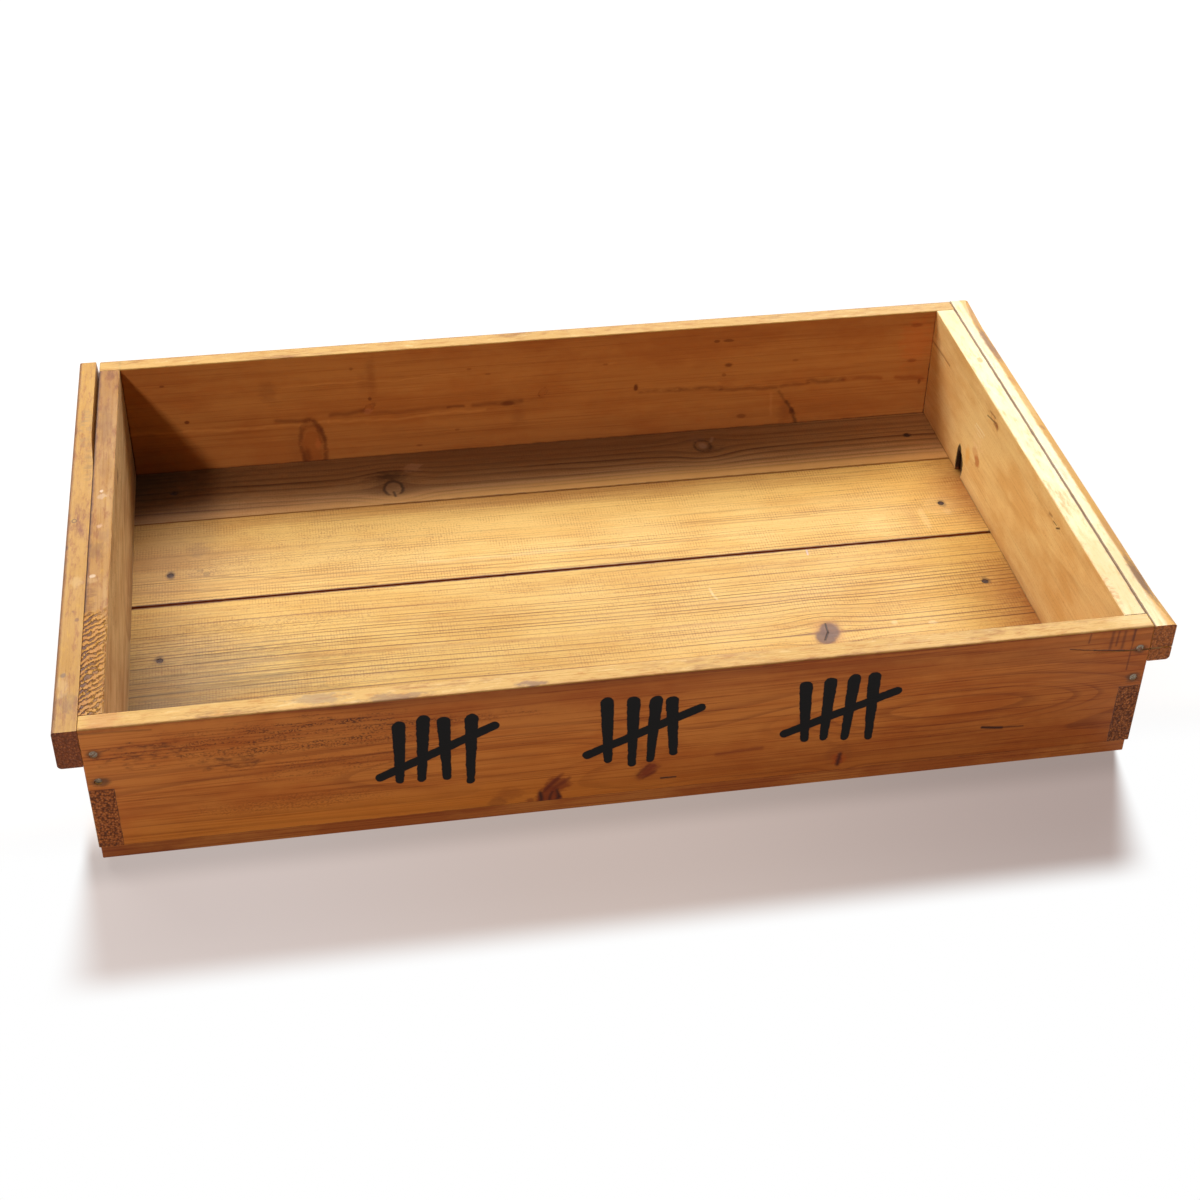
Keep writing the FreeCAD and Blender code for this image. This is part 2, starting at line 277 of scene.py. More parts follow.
# Growth rings are whole turns of the distance from a bent pith line, divided by the ring width.
# A knot presses the rings apart sideways by a bell curve, and is itself an oval of tight dark rings.
class WoodPaint(Paint):
    def __init__(self, name, wood):
        self.wood = wood = {**timber, **wood}
        self.sides, self.streaked = {}, {}
        super().__init__(name, Specular_IOR_Level=wood["shine"])
        place, normal = self.outputs("TexCoord", "Object", "Normal")
        self.place = self.parts(self.millimetres(place))
        self.facing = self.parts(normal)
        self.along, self.across, self.into = [self.place[axis] for axis in wood["axes"]]
        self.grain = self.vector(self.along, self.across, self.into)
        self.fields()
        self.rings()
        self.colours()
        self.blemishes()
        self.ends()

    def grown(self, sizes, detail, roughness=0.5, seed=0):
        return self.noise(self.grain, sizes, detail, roughness, self.wood["seed"] + seed)

    # The noises that everything else is made from.
    def fields(self):
        self.slow = self.grown((420, 130, 130), 1.0, seed=1) - 0.5
        self.fibre = self.grown((90, 1.1, 1.1), 3.0, 0.6, 5)
        self.streak = self.grown((230, 5, 5), 2.0, 0.55, 6)
        self.mottle = self.grown((70, 30, 30), 4.0, 0.62, 7)
        self.grit = self.grown((1.5, 1.1, 1.1), 2.0, 0.6, 8)
        self.ragged = self.grown((7, 3.5, 3.5), 3.0, 0.6, 11) - 0.5
        self.endWood = self.sideways(0)

    # 1 on the faces that look along one of the board's own axes, either way.
    def sideways(self, axis):
        return self.smooth(abs(self.facing[self.wood["axes"][axis]]), 0.55, 0.85)

    # How far a knot pushes the rings, and its core and rim.
    def bend(self, knot, u, v):
        wide, high = knot["size"]
        ratioU, ratioV = u / (wide * knot["spread"] * knot["stretch"]), v / (high * knot["spread"])
        return self.maths("EXPONENT", -(ratioU * ratioU + ratioV * ratioV))

    def knotted(self, knot, u, v):
        wide, high = knot["size"]
        oval = self.reach((u + v * knot["lean"]) / wide, v / high) + self.ragged * knot["wobble"]
        core = self.smooth(oval, 1.06, 0.8) * knot["depth"]
        whole = self.smooth(self.ragged + knot["closed"], -0.06, 0.1)
        rim = self.smooth(oval, 0.7, 0.95) * self.smooth(oval, 1.3, 1.0) * whole * knot["rim"]
        if knot["gap"] is not None:
            rim = rim * self.smooth(v / high + self.ragged * 0.6, knot["gap"], knot["gap"] + 0.3)
        inner = self.smooth(self.maths("FRACT", oval * knot["turns"]), 0.3, 0.9)
        core = core * (0.55 + inner * 0.45)
        self.knotCore = core if self.knotCore is None else self.most(self.knotCore, core)
        self.knotRim = rim if self.knotRim is None else self.most(self.knotRim, rim)

    def rings(self):
        wood = self.wood
        along, across = self.along, self.across
        pressed, swell = across, None
        self.knotCore = self.knotRim = None
        for knot in wood["knots"]:
            u, v = along - knot["at"][0], across - knot["at"][1]
            bell = self.bend(knot, u, v)
            if knot["press"]:
                pressed = pressed - v * bell * knot["press"]
            if knot["swell"]:
                more = bell * knot["swell"]
                swell = more if swell is None else swell + more
            if knot["depth"]:
                self.knotted(knot, u, v)
        ripple = self.grown((90, 14, 14), 2.0, seed=2) - 0.5
        aside = pressed - wood["pith"][0] + self.slow * wood["wander"] + along * wood["tilt"][0]
        under = self.into - wood["pith"][1] + self.slow * wood["wander"] * 0.6 + along * wood["tilt"][1]
        distance = self.reach(aside, under)
        if swell is not None:
            distance = distance + swell
        growth = self.noiseAlong(distance, wood["ring"] * 4, seed=wood["seed"]) - 0.5
        growth = growth * (2.2 * wood["uneven"])
        turn = distance / wood["ring"] + growth + ripple * wood["ripple"]
        part = self.maths("FRACT", turn)
        yearly = self.noiseAlong(self.maths("FLOOR", turn), 0.37, 0.0, seed=wood["seed"] + 4)
        dark = self.smooth(part, wood["lateStart"], 0.88) * self.smooth(part, 1.0, 0.94)
        self.late = dark * self.scale(yearly, 0.3, 0.7, 0.25, 1.0)
        if wood["ringShare"]:
            self.late = self.late * self.scale(across, *wood["ringShare"])

    # Lays a colour over the board's.
    def lay(self, top, mask, blend="MIX"):
        self.colour = self.over(self.colour, top, mask, blend)

    def colours(self):
        wood = self.wood
        fibre, grit = self.fibre, self.grit
        sides = 1 - self.endWood
        self.colour = wood["early"]
        self.lay(wood["mottle"], self.smooth(self.mottle, 0.4, 0.66) * wood["mottleAmount"], "MULTIPLY")
        streaks = self.smooth(self.streak, 0.48, 0.68) * wood["streak"] * sides
        self.lay(wood["streakColour"], streaks, "MULTIPLY")
        fading = self.smooth(self.grown((110, 12, 12), 2.0, seed=3), 0.3, 0.56) * 0.6 + 0.4
        self.lay(wood["late"], self.late * fading * wood["ringDepth"])
        self.lay(wood["fibreColour"], self.smooth(fibre, 0.48, 0.7) * wood["fibre"] * sides, "MULTIPLY")
        pore = self.smooth(fibre + (grit - 0.5) * 0.6, 0.66, 0.78)
        self.lay(wood["dirt"], pore * wood["pores"] * sides)
        if wood["speckle"]:
            specks = self.smooth(grit + self.ragged * 0.3, 0.5, 0.72) * wood["speckle"]
            self.lay(shade(196, 148, 92), specks, "MULTIPLY")
        self.height = self.late * wood["relief"] + (fibre - 0.5) * 0.2 + (grit - 0.5) * 0.06 - pore * 0.05
        if wood["chatter"]:
            ribs = self.maths("SINE", (self.along + self.slow * 4.0) * (math.tau / wood["chatterPitch"]))
            patches = self.smooth(self.grown((34, 12, 12), 3.0, seed=17), 0.4, 0.62) * sides
            patches = patches * self.smooth(grit, 0.3, 0.6)
            self.lay(shade(190, 150, 104), self.smooth(ribs, -0.2, 0.9) * patches * wood["chatter"],
                "MULTIPLY")
        if wood["edge"]:
            side = self.sideways(1)
            spread = self.smooth(self.mottle, 0.4, 0.6) * 0.6
            band = self.over(wood["edge"], shade(200, 150, 112), spread, "MULTIPLY")
            lines = self.smooth(fibre, 0.46, 0.66) * 0.6
            self.lay(self.over(band, shade(190, 140, 104), lines, "MULTIPLY"), side)
        self.roughness = self.scale(self.mottle + fibre * 0.4, 0.4, 1.0, *wood["rough"])

    def cut(self, line, depth):
        self.height = self.maths("MULTIPLY_ADD", line, -depth, self.height)

    # Knots, spots, stains and painted shade, cracks and seams from the board's lists.
    def blemishes(self):
        wood, u, v = self.wood, self.along, self.across
        if self.knotCore is not None:
            self.lay(wood["knotColour"], self.knotCore * 0.85)
            self.lay(wood["knotRim"], self.knotRim * 0.75)
            self.height = self.height + self.knotCore * 0.12 - self.knotRim * 0.2
        flat = self.vector(u, v, 0.0)
        for x, y, wide, high, depth in wood["spots"]:
            away = self.maths("MULTIPLY_ADD", self.ragged, 0.8, self.oval(flat, (x, y), (wide, high)))
            self.lay(wood["knotRim"], self.smooth(away, 1.2, 0.5, depth))
        self.stainAndShade(flat, wood["stainsAndShade"], wood["facing"])
        slide = self.grown((22, 200, 200), 2.0, seed=13) - 0.5
        places = {
            "wavy": self.vector(u, v + slide * 7.0, 0.0),
            "loose": self.vector(u + slide * 5.0 + self.ragged * 2.4, v + self.ragged * 2.0, 0.0)}
        for crack in wood["cracks"]:
            bent = crack["bent"]
            place = places[bent] if bent in places else self.vector(u, v + self.ragged * 1.2, 0.0)
            line = self.stroke(place, *crack["line"])
            if bent == "wavy":
                line = line * self.smooth(self.streak + self.ragged * 0.5, 0.22, 0.5)
            self.lay(crack["colour"], line)
            if crack["bite"]:
                self.cut(line, crack["bite"])
        frayed = self.vector(u + self.ragged * 1.4, v + self.ragged * 1.4, 0.0)
        for *where, side in wood["seams"]:
            line = self.stroke(frayed, *where)
            if side:
                line = line * self.on(*side)
            self.lay(wood["seamColour"], line)
            self.cut(line, 0.15)

    # Stains and painted shade, in patches whole or broken into streaks or dots. Those of one side come last,
    # and on that side only.
    def stainAndShade(self, flat, stainsAndShade, facing=None):
        sided = [stainAndShade for stainAndShade in stainsAndShade if facing or stainAndShade["on"]]
        for stainAndShade in stainsAndShade:
            if stainAndShade not in sided:
                self.colour = self.stainedAndShaded(flat, self.colour, stainAndShade)
        if sided:
            colour = self.colour
            for stainAndShade in sided:
                colour = self.stainedAndShaded(flat, colour, stainAndShade)
            self.lay(colour, self.on(*(facing or sided[0]["on"])))

    def stainedAndShaded(self, flat, colour, stainAndShade):
        oval = self.oval(flat, stainAndShade["at"], stainAndShade["size"])
        mask = self.maths("MULTIPLY_ADD", self.ragged, stainAndShade["ragged"], oval)
        mask = self.smooth(mask, 1.15, stainAndShade["hard"], stainAndShade["depth"])
        streaks = stainAndShade["streaks"]
        if streaks:
            if streaks not in self.streaked:
                self.streaked[streaks] = self.smooth(self.grown(streaks, 3.0, 0.65, 12), 0.42, 0.62)
            mask = mask * self.streaked[streaks]
        if stainAndShade["dots"]:
            mask = mask * self.smooth(self.grit, 0.44, 0.44 + stainAndShade["dots"])
        return self.over(colour, stainAndShade["colour"] or self.wood["dirt"], mask, stainAndShade["blend"])

    # 1 where the surface faces along an axis, in the given direction.
    def on(self, axis, direction):
        if (axis, direction) not in self.sides:
            turned = self.facing[axis]
            self.sides[axis, direction] = self.smooth(turned, 0.35 * direction, 0.75 * direction)
        return self.sides[axis, direction]

    # Cut ends show the rings and open cells, and hold more dirt.
    def ends(self):
        wood = self.wood
        pores = self.add("Mapping", (), {"Vector": self.grain, "Scale": (0.3, 0.64, 0.64)})
        pebble = self.add("TexVoronoi", {"feature": "F1"}, {"Vector": pores, "Scale": 1.0})
        cells = self.grown((3, 2.4, 2.4), 3.0, 0.7, 15)
        cut = self.over(wood["endGrain"], shade(96, 48, 22), self.late * 0.5)
        dark = self.smooth(pebble + (cells - 0.5) * 1.2, 0.36, 0.8) * wood["pebbles"]
        cut = self.over(cut, shade(84, 42, 20), dark)
        light = self.smooth(pebble + (cells - 0.5), 0.3, 0.1) * wood["pebbles"] * 0.6
        cut = self.over(cut, shade(206, 132, 72), light)
        self.lay(cut, self.endWood)
        self.height = self.height + (0.6 - pebble) * 1.1 * self.endWood
        # The hollows are painted shade inside the chips, kept off the outer face.
        if wood["hollows"]:
            whole = self.colour
            self.stainAndShade(self.vector(self.along, self.across, 0.0), wood["hollows"])
            self.colour = self.over(whole, self.colour, self.smooth(self.into, *wood["hollowDepth"]))
        self.roughness = self.roughness + self.endWood * 0.25

    def done(self):
        return self.finish(Base_Color=self.colour, Roughness=self.roughness,
            Normal=self.bump(self.height, 0.8))


def dress(node, material):
    piece = nodes[node]
    piece.data.materials.clear()
    piece.data.materials.append(material)
    print("dressed", node)


# Sides are (axis, direction); levels and places are in millimetres.
upward, outside, inside = (2, 1), (1, -1), (0, 1)    # of the rims, the front board, the left end board
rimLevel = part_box("front_board")[1].z * 1000
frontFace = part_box("front_board")[0].y * 1000
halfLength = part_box("front_board")[1].x * 1000
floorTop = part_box("floor_board_front")[1].z * 1000
fingerHeight, endThickness, railThickness = 42, 13.5, 13.3
lapLevel = floorTop + fingerHeight
innerEnd = halfLength - endThickness
railEdge = halfLength + railThickness
cornerSeams = tuple(
    seam((side * innerEnd, low), (side * far, lapLevel), 0.35, 0.45, 0.9)
    for side in (-1, 1) for far, low in ((300.0, lapLevel), (innerEnd, floorTop)))

plainRim = {
    "cover": 0.75,                 # share of the rim's own colour
    "edgeDepth": 0.5,              # how dark it is along its outer edge
    "band": None,                  # a band inside that edge: width, depth, colour
    "joint": None,                 # the dark joint with the next board: axis, place, half width, depth
}


# Worn rim of a wall: paler wood, scuffed and bruised, and darker along its outer edge.
def wornRim(paint, changes):
    rim = {**plainRim, **changes}
    top = paint.on(*upward)
    scuff = paint.grown((13, 3.4, 3.4), 5.0, 0.7, 21)
    paint.lay(rim["colour"], top * rim["cover"])
    paint.lay(rim["scuff"], paint.smooth(scuff, 0.48, 0.66) * top * 0.7, "MULTIPLY")
    paint.lay(rim["cream"], paint.smooth(scuff, 0.44, 0.28) * top * 0.4)
    spread = paint.grown((60, 22, 22), 3.0, 0.6, 22)
    bruised = paint.smooth(spread, 0.54, 0.68) * (paint.smooth(scuff, 0.38, 0.6) * 0.7 + 0.3)
    paint.lay(rim["bruise"], bruised * top * 0.8, "MULTIPLY")
    axis, side, at = rim["edge"]
    outward = paint.place[axis] * side - at
    if rim["band"]:
        width, depth, tint = rim["band"]
        inward = paint.smooth(outward + paint.ragged * 5.0, -width - 1.5, -width + 2.5)
        paint.lay(tint, inward * top * depth)
    paint.stainAndShade(paint.vector(paint.place[0], paint.place[1], 0.0), rim["marks"], upward)
    paint.lay(shade(112, 76, 44), paint.smooth(paint.grit, 0.68, 0.74) * top * 0.45)
    near = paint.reach(outward, paint.place[2] - rimLevel) + paint.ragged * 2.4
    paint.lay(rim["edgeDark"], paint.smooth(near, 2.4, 0.5) * rim["edgeDepth"], "MULTIPLY")
    paint.height = paint.height + (scuff - 0.5) * 0.35 * top
    if rim["joint"]:
        axis, at, half, depth = rim["joint"]
        away = abs(paint.place[axis] - at) + paint.ragged * 0.9
        paint.lay(shade(70, 38, 16), paint.smooth(away, half + 0.5, half) * top * depth)


# Torn top of the left end board: slivers lifted on the slant, dark between them.
torn = {
    "start": -92.0, "outer": -300.0, "inner": -287.5,
    "pitch": 4.8, "slant": 0.8,
    "light": shade(212, 148, 36), "middle": shade(150, 86, 20), "dark": shade(84, 36, 0),
}


# A sliver is one turn of the slanting distance, divided by the pitch and shaken by noise.
def tearStrip(paint):
    x, y = paint.place[0], paint.place[1]
    loose = paint.noise(paint.grain, (12, 5, 5), 3.0, 0.6, seed=71) - 0.5
    length = paint.smooth(y + loose * 26.0, torn["start"] + 5, torn["start"] - 4)
    width = paint.smooth(x + loose * 4.0, torn["inner"] + 1.5, torn["inner"] - 1.0)
    area = length * width * paint.on(*upward)
    phase = (y - x * torn["slant"] + loose * 9.0) / torn["pitch"]
    sliver = abs(paint.maths("FRACT", phase) - 0.5) * 2.0
    worn = paint.noise(paint.grain, (4.2, 2.4, 2.4), 4.0, 0.75, seed=72)
    gap = paint.smooth(sliver + (worn - 0.5) * 3.4, 0.62, 0.1)
    deeper = paint.smooth(x, torn["inner"], torn["outer"]) * 0.4 + 0.6
    paint.lay(torn["light"], area * 0.75)
    paint.lay(torn["middle"], area * paint.smooth(worn, 0.4, 0.6) * deeper * 0.7)
    paint.lay(torn["dark"], area * gap * deeper)
    paint.height = paint.height + area * (0.5 - gap) * 1.4


frontWood = {
    "pith": (72.0, -330.0),
    "tilt": (0.02, 0.0),
    "ring": 3.4,
    "wander": 16.0,
    "ripple": 0.35,
    "early": shade(192, 118, 52),
    "late": shade(116, 56, 22),
    "mottle": shade(222, 182, 140),
    "mottleAmount": 0.5,
    "lateStart": 0.55,
    "ringDepth": 0.58,
    "fibre": 0.62,
    "pores": 0.34,
    "endGrain": shade(170, 98, 52),
    "knotColour": shade(112, 44, 20),
    "knotRim": shade(70, 28, 16),
    "knots": (
        knot((-49, 19), (10, 7), depth=0),
        knot((8, 27.5), (6, 4.6), lean=-0.6, turns=1.6, depth=0.5, wobble=1.6, rim=0.3, spread=2.2),
        knot((121, 21), (2, 3.4), lean=0.3, depth=0.9, wobble=1, rim=0.6, spread=3.4),
        knot((-62, 50), (3, 2), depth=0, swell=12, press=0, spread=8, stretch=3.6),
        knot((190, 54), (3, 2), depth=0, swell=17, press=0, spread=9, stretch=4.2),
        knot((-215, 50), (3, 2), depth=0, swell=5, press=0, spread=9, stretch=4.5),
    ),
    "cracks": (
        crack((16, 21.2), (24.5, 21), 0.55),
        crack((3, 23.5), (12, 32), 1.4, 2.6, 0.6, (110, 40, 18), bite=0, bent="loose"),
        crack((1.5, 25), (9, 33), 0.4, 1.2, 0.5, (90, 32, 14), bite=0.1, bent="loose"),
        crack((5, 22.5), (12.5, 27), 0.4, 1.2, 0.5, (84, 30, 14), bite=0.1, bent="loose"),
        crack((120.6, 17.5), (121.8, 25.5), 1.1, 1.3, 0.9, (56, 20, 12), bent="loose"),
        crack((48, 35), (74, 36.5), 1, 1.6, 0.5, (110, 42, 18), bite=0),
        crack((206, 34.5), (218, 33), 0.9, 0.7, 0.95, (40, 18, 12), bite=0.2),
        crack((214, 33.3), (231, 32.6), 0.4, 0.7, 0.7, (60, 26, 14), bite=0.1),
        crack((251, 87.4), (266, 84.8), 0.2, 0.5, 0.75),
        crack((266, 84.8), (284, 82.6), 0.45, 0.5),
        crack((284, 82.6), (300, 81.9), 0.45, 0.5),
        crack((-300, 96), (-262, 94.5), 0.4, 0.8, 0.4),
    ) + tuple(
        crack((x, 97), (x - 0.4, low), half, 0.9, 0.6, (80, 40, 26), bite=0)
        for x, low, half in (
            (262, 91, 0.2), (275.5, 85, 0.9), (278.9, 87, 0.4), (282.8, 84.5, 0.8), (288.4, 90, 0.6),
            (288.6, 68, 0.1))
    ) + tuple(
        crack(start, end, half, 1.4, depth, colour, 0.15, "loose") for start, end, half, depth, colour in (
            ((-53.6, 19.5), (-53, 12), 1, 0.9, (44, 16, 12)),
            ((-53, 12), (-50, 7.5), 0.7, 0.85, (52, 20, 12)),
            ((-50, 7), (-47, 19), 0.3, 0.8, (62, 22, 12)),
            ((-44.5, 20.5), (-43.6, 15), 0.3, 0.85, (56, 20, 12)),
            ((-43.6, 15), (-47, 7.5), 0.4, 0.85, (56, 20, 12)),
            ((-51, 21), (-44, 29), 0.6, 0.7, (86, 28, 14)),
            ((-46, 22), (-38, 28.5), 0.8, 0.6, (96, 34, 16)),
            ((-49, 24), (-42, 32), 0.5, 0.55, (96, 34, 16)))),
    "facing": outside,
    "stainsAndShade": (
        wash((0, 99), (330, 30), 0.4, (168, 128, 106), ragged=0.5, hard=0.1),
        patch((-130, 13), (260, 24), 0.45, (216, 134, 46), ragged=0.5, hard=0.1),
        wash((150, 20), (260, 34), 0.65, (216, 198, 184), ragged=0.5),
        wash((300, 50), (160, 90), 0.5, (196, 168, 150)),
        patch((-185, 80), (100, 13), 0.75, (74, 40, 20), streaks=(16, 1.6, 1.6), dots=0.14),
        patch((-180, 72), (70, 3.5), 0.6, (74, 40, 20), dots=0.2),
        patch((-100, 80), (60, 4), 0.55, (84, 44, 24), dots=0.2, streaks=(12, 2, 2)),
        patch((-268, 78), (26, 8), 0.65, (74, 38, 22), streaks=(8, 3, 3), ragged=2.4),
        patch((-222, 66), (20, 6), 0.6, (80, 42, 24), streaks=(8, 3, 3), ragged=2.4),
        patch((-170, 56), (60, 10), 0.5, (84, 46, 24), streaks=(12, 1.4, 1.4), dots=0.16),
        patch((-190, 32), (60, 7), 0.4, (96, 52, 26), dots=0.2),
        patch((-71, 21), (9, 5), 0.3, (110, 50, 22), ragged=2),
        patch((-78, 14), (6, 6), 0.35, (104, 56, 30)),
        patch((-49, 15), (7.5, 8.5), 0.9, (116, 44, 18), ragged=1, hard=0.7),
        patch((-43.5, 25), (7.5, 6.5), 0.8, (112, 42, 18), ragged=1.6, hard=0.6),
        patch((-59.5, 13), (3.4, 3.4), 0.6, (112, 46, 20), ragged=1.6),
        patch((8.5, 28.5), (6.4, 6.4), 0.75, (124, 50, 22), ragged=1.8, hard=0.5),
        patch((121, 22), (4.6, 6), 0.55, (176, 76, 22)),
        patch((121, 25), (8, 12), 0.2, (110, 52, 22), ragged=2),
        patch((-165, 86), (50, 5), 0.7, (60, 32, 20), streaks=(16, 1.6, 1.6), dots=0.12),
        patch((-60, 44), (90, 26), 0.2, (206, 122, 44), ragged=0.6, hard=0),
        patch((-293.3, 81), (4.8, 4), 0.75, ragged=0.9),
        patch((-292.3, 61), (5.6, 4), 0.75, ragged=0.9),
        patch((293.9, 83), (4.8, 4), 0.75, ragged=0.9),
        patch((293.2, 61.6), (4.8, 4.2), 0.75, ragged=0.9),
    ),
    "seams": cornerSeams + (seam((-innerEnd, floorTop), (innerEnd, floorTop), 0.1, 0.5, 0.6),),
    "rough": (0.42, 0.6),
    "shine": 0.2,
    "seed": 3.0,
}
frontRim = {
    "colour": shade(224, 186, 106),
    "scuff": shade(226, 196, 152),
    "bruise": shade(196, 168, 142),
    "edgeDark": shade(160, 112, 74),
    "cream": shade(246, 220, 164),
    "edge": (1, -1, -frontFace),   # the outer face: axis, direction, distance
    "marks": (
        patch((-174, -184), (17, 5), 0.55, (150, 124, 96), ragged=2.6),
        patch((-132, -189), (18, 3.5), 0.65, (140, 108, 80), ragged=2.6),
        patch((-57, -189), (10, 3.4), 0.7, (126, 92, 80), ragged=2.2),
        patch((-224, -188), (34, 4), 0.55, (140, 88, 40), streaks=(9, 2, 2)),
        patch((-286, -185), (12, 8), 0.4, (190, 116, 60)),
        patch((40, -184), (46, 7), 0.45, (160, 112, 66), streaks=(14, 3, 3)),
        patch((230, -181), (50, 3), 0.4, (166, 112, 60), streaks=(10, 2, 2)),
        patch((-100, -182), (34, 4), 0.45, (156, 104, 58), streaks=(9, 2, 2)),
        patch((150, -187), (40, 4), 0.35, (176, 120, 66), streaks=(14, 3, 3)),
        patch((297, -182), (26, 14), 0.7, (240, 208, 144), hard=0.2, ragged=1),
    ),
}

# Brushed counting strokes on the front, three fives: four upright, one across them.
tally = {
    "fives": (-112.0, 4.0, 118.0),
    "pitch": 12.5,
    "low": 37.0,
    "high": 80.0,
    "halfWidth": 3.3,
    "colour": shade(3, 3, 4),
}


# Each upright stroke is the nearest of four, shifted and leant by chance.
def brushTally(paint):
    x, z = paint.along, paint.across
    pitch, low, high, half = tally["pitch"], tally["low"], tally["high"], tally["halfWidth"]
    edge = paint.ragged * 1.5
    mask = None
    for number, middle in enumerate(tally["fives"]):
        local = x - (middle - 2 * pitch)
        index = paint.within(paint.maths("FLOOR", local / pitch), 0.0, 3.0)
        chance = paint.add("TexWhiteNoise", {"noise_dimensions": "1D"}, {"W": index + number * 7.3 + 0.5}, 1)
        shift, lean, lift = paint.parts(chance)
        u = local - (index + 0.5) * pitch + (shift - 0.5) * 2.4 + (z - 58.0) * (lean - 0.5) * 0.12
        top = high + (lift - 0.5) * 5.0
        v = z - paint.within(z, low + (shift - 0.5) * 6.0, top)
        taper = paint.scale(z, low, high, -0.9, 0.6)
        upright = paint.smooth(paint.reach(u, v) + edge - taper, half + 0.25, half - 0.25)
        start, end = (middle - 31.0, 43.0 + number), (middle + 33.0, 74.0 - 2 * number)
        share = paint.scale(x, start[0], end[0], -0.9, 1.0)
        bent = paint.vector(x + edge * 0.5, z + edge + share * 0.6, 0.0)
        both = paint.most(upright, paint.stroke(bent, start, end, half * 0.9, 0.25))
        mask = both if mask is None else paint.most(mask, both)
    mask = mask * paint.smooth(paint.fibre + paint.ragged * 0.3, 0.86, 0.76) * paint.on(*outside)
    paint.lay(tally["colour"], mask)
    paint.roughness = paint.most(paint.roughness, mask * 0.8)


frontPaint = WoodPaint("front board wood", frontWood)
wornRim(frontPaint, frontRim)
brushTally(frontPaint)
dress("front_board", frontPaint.done())

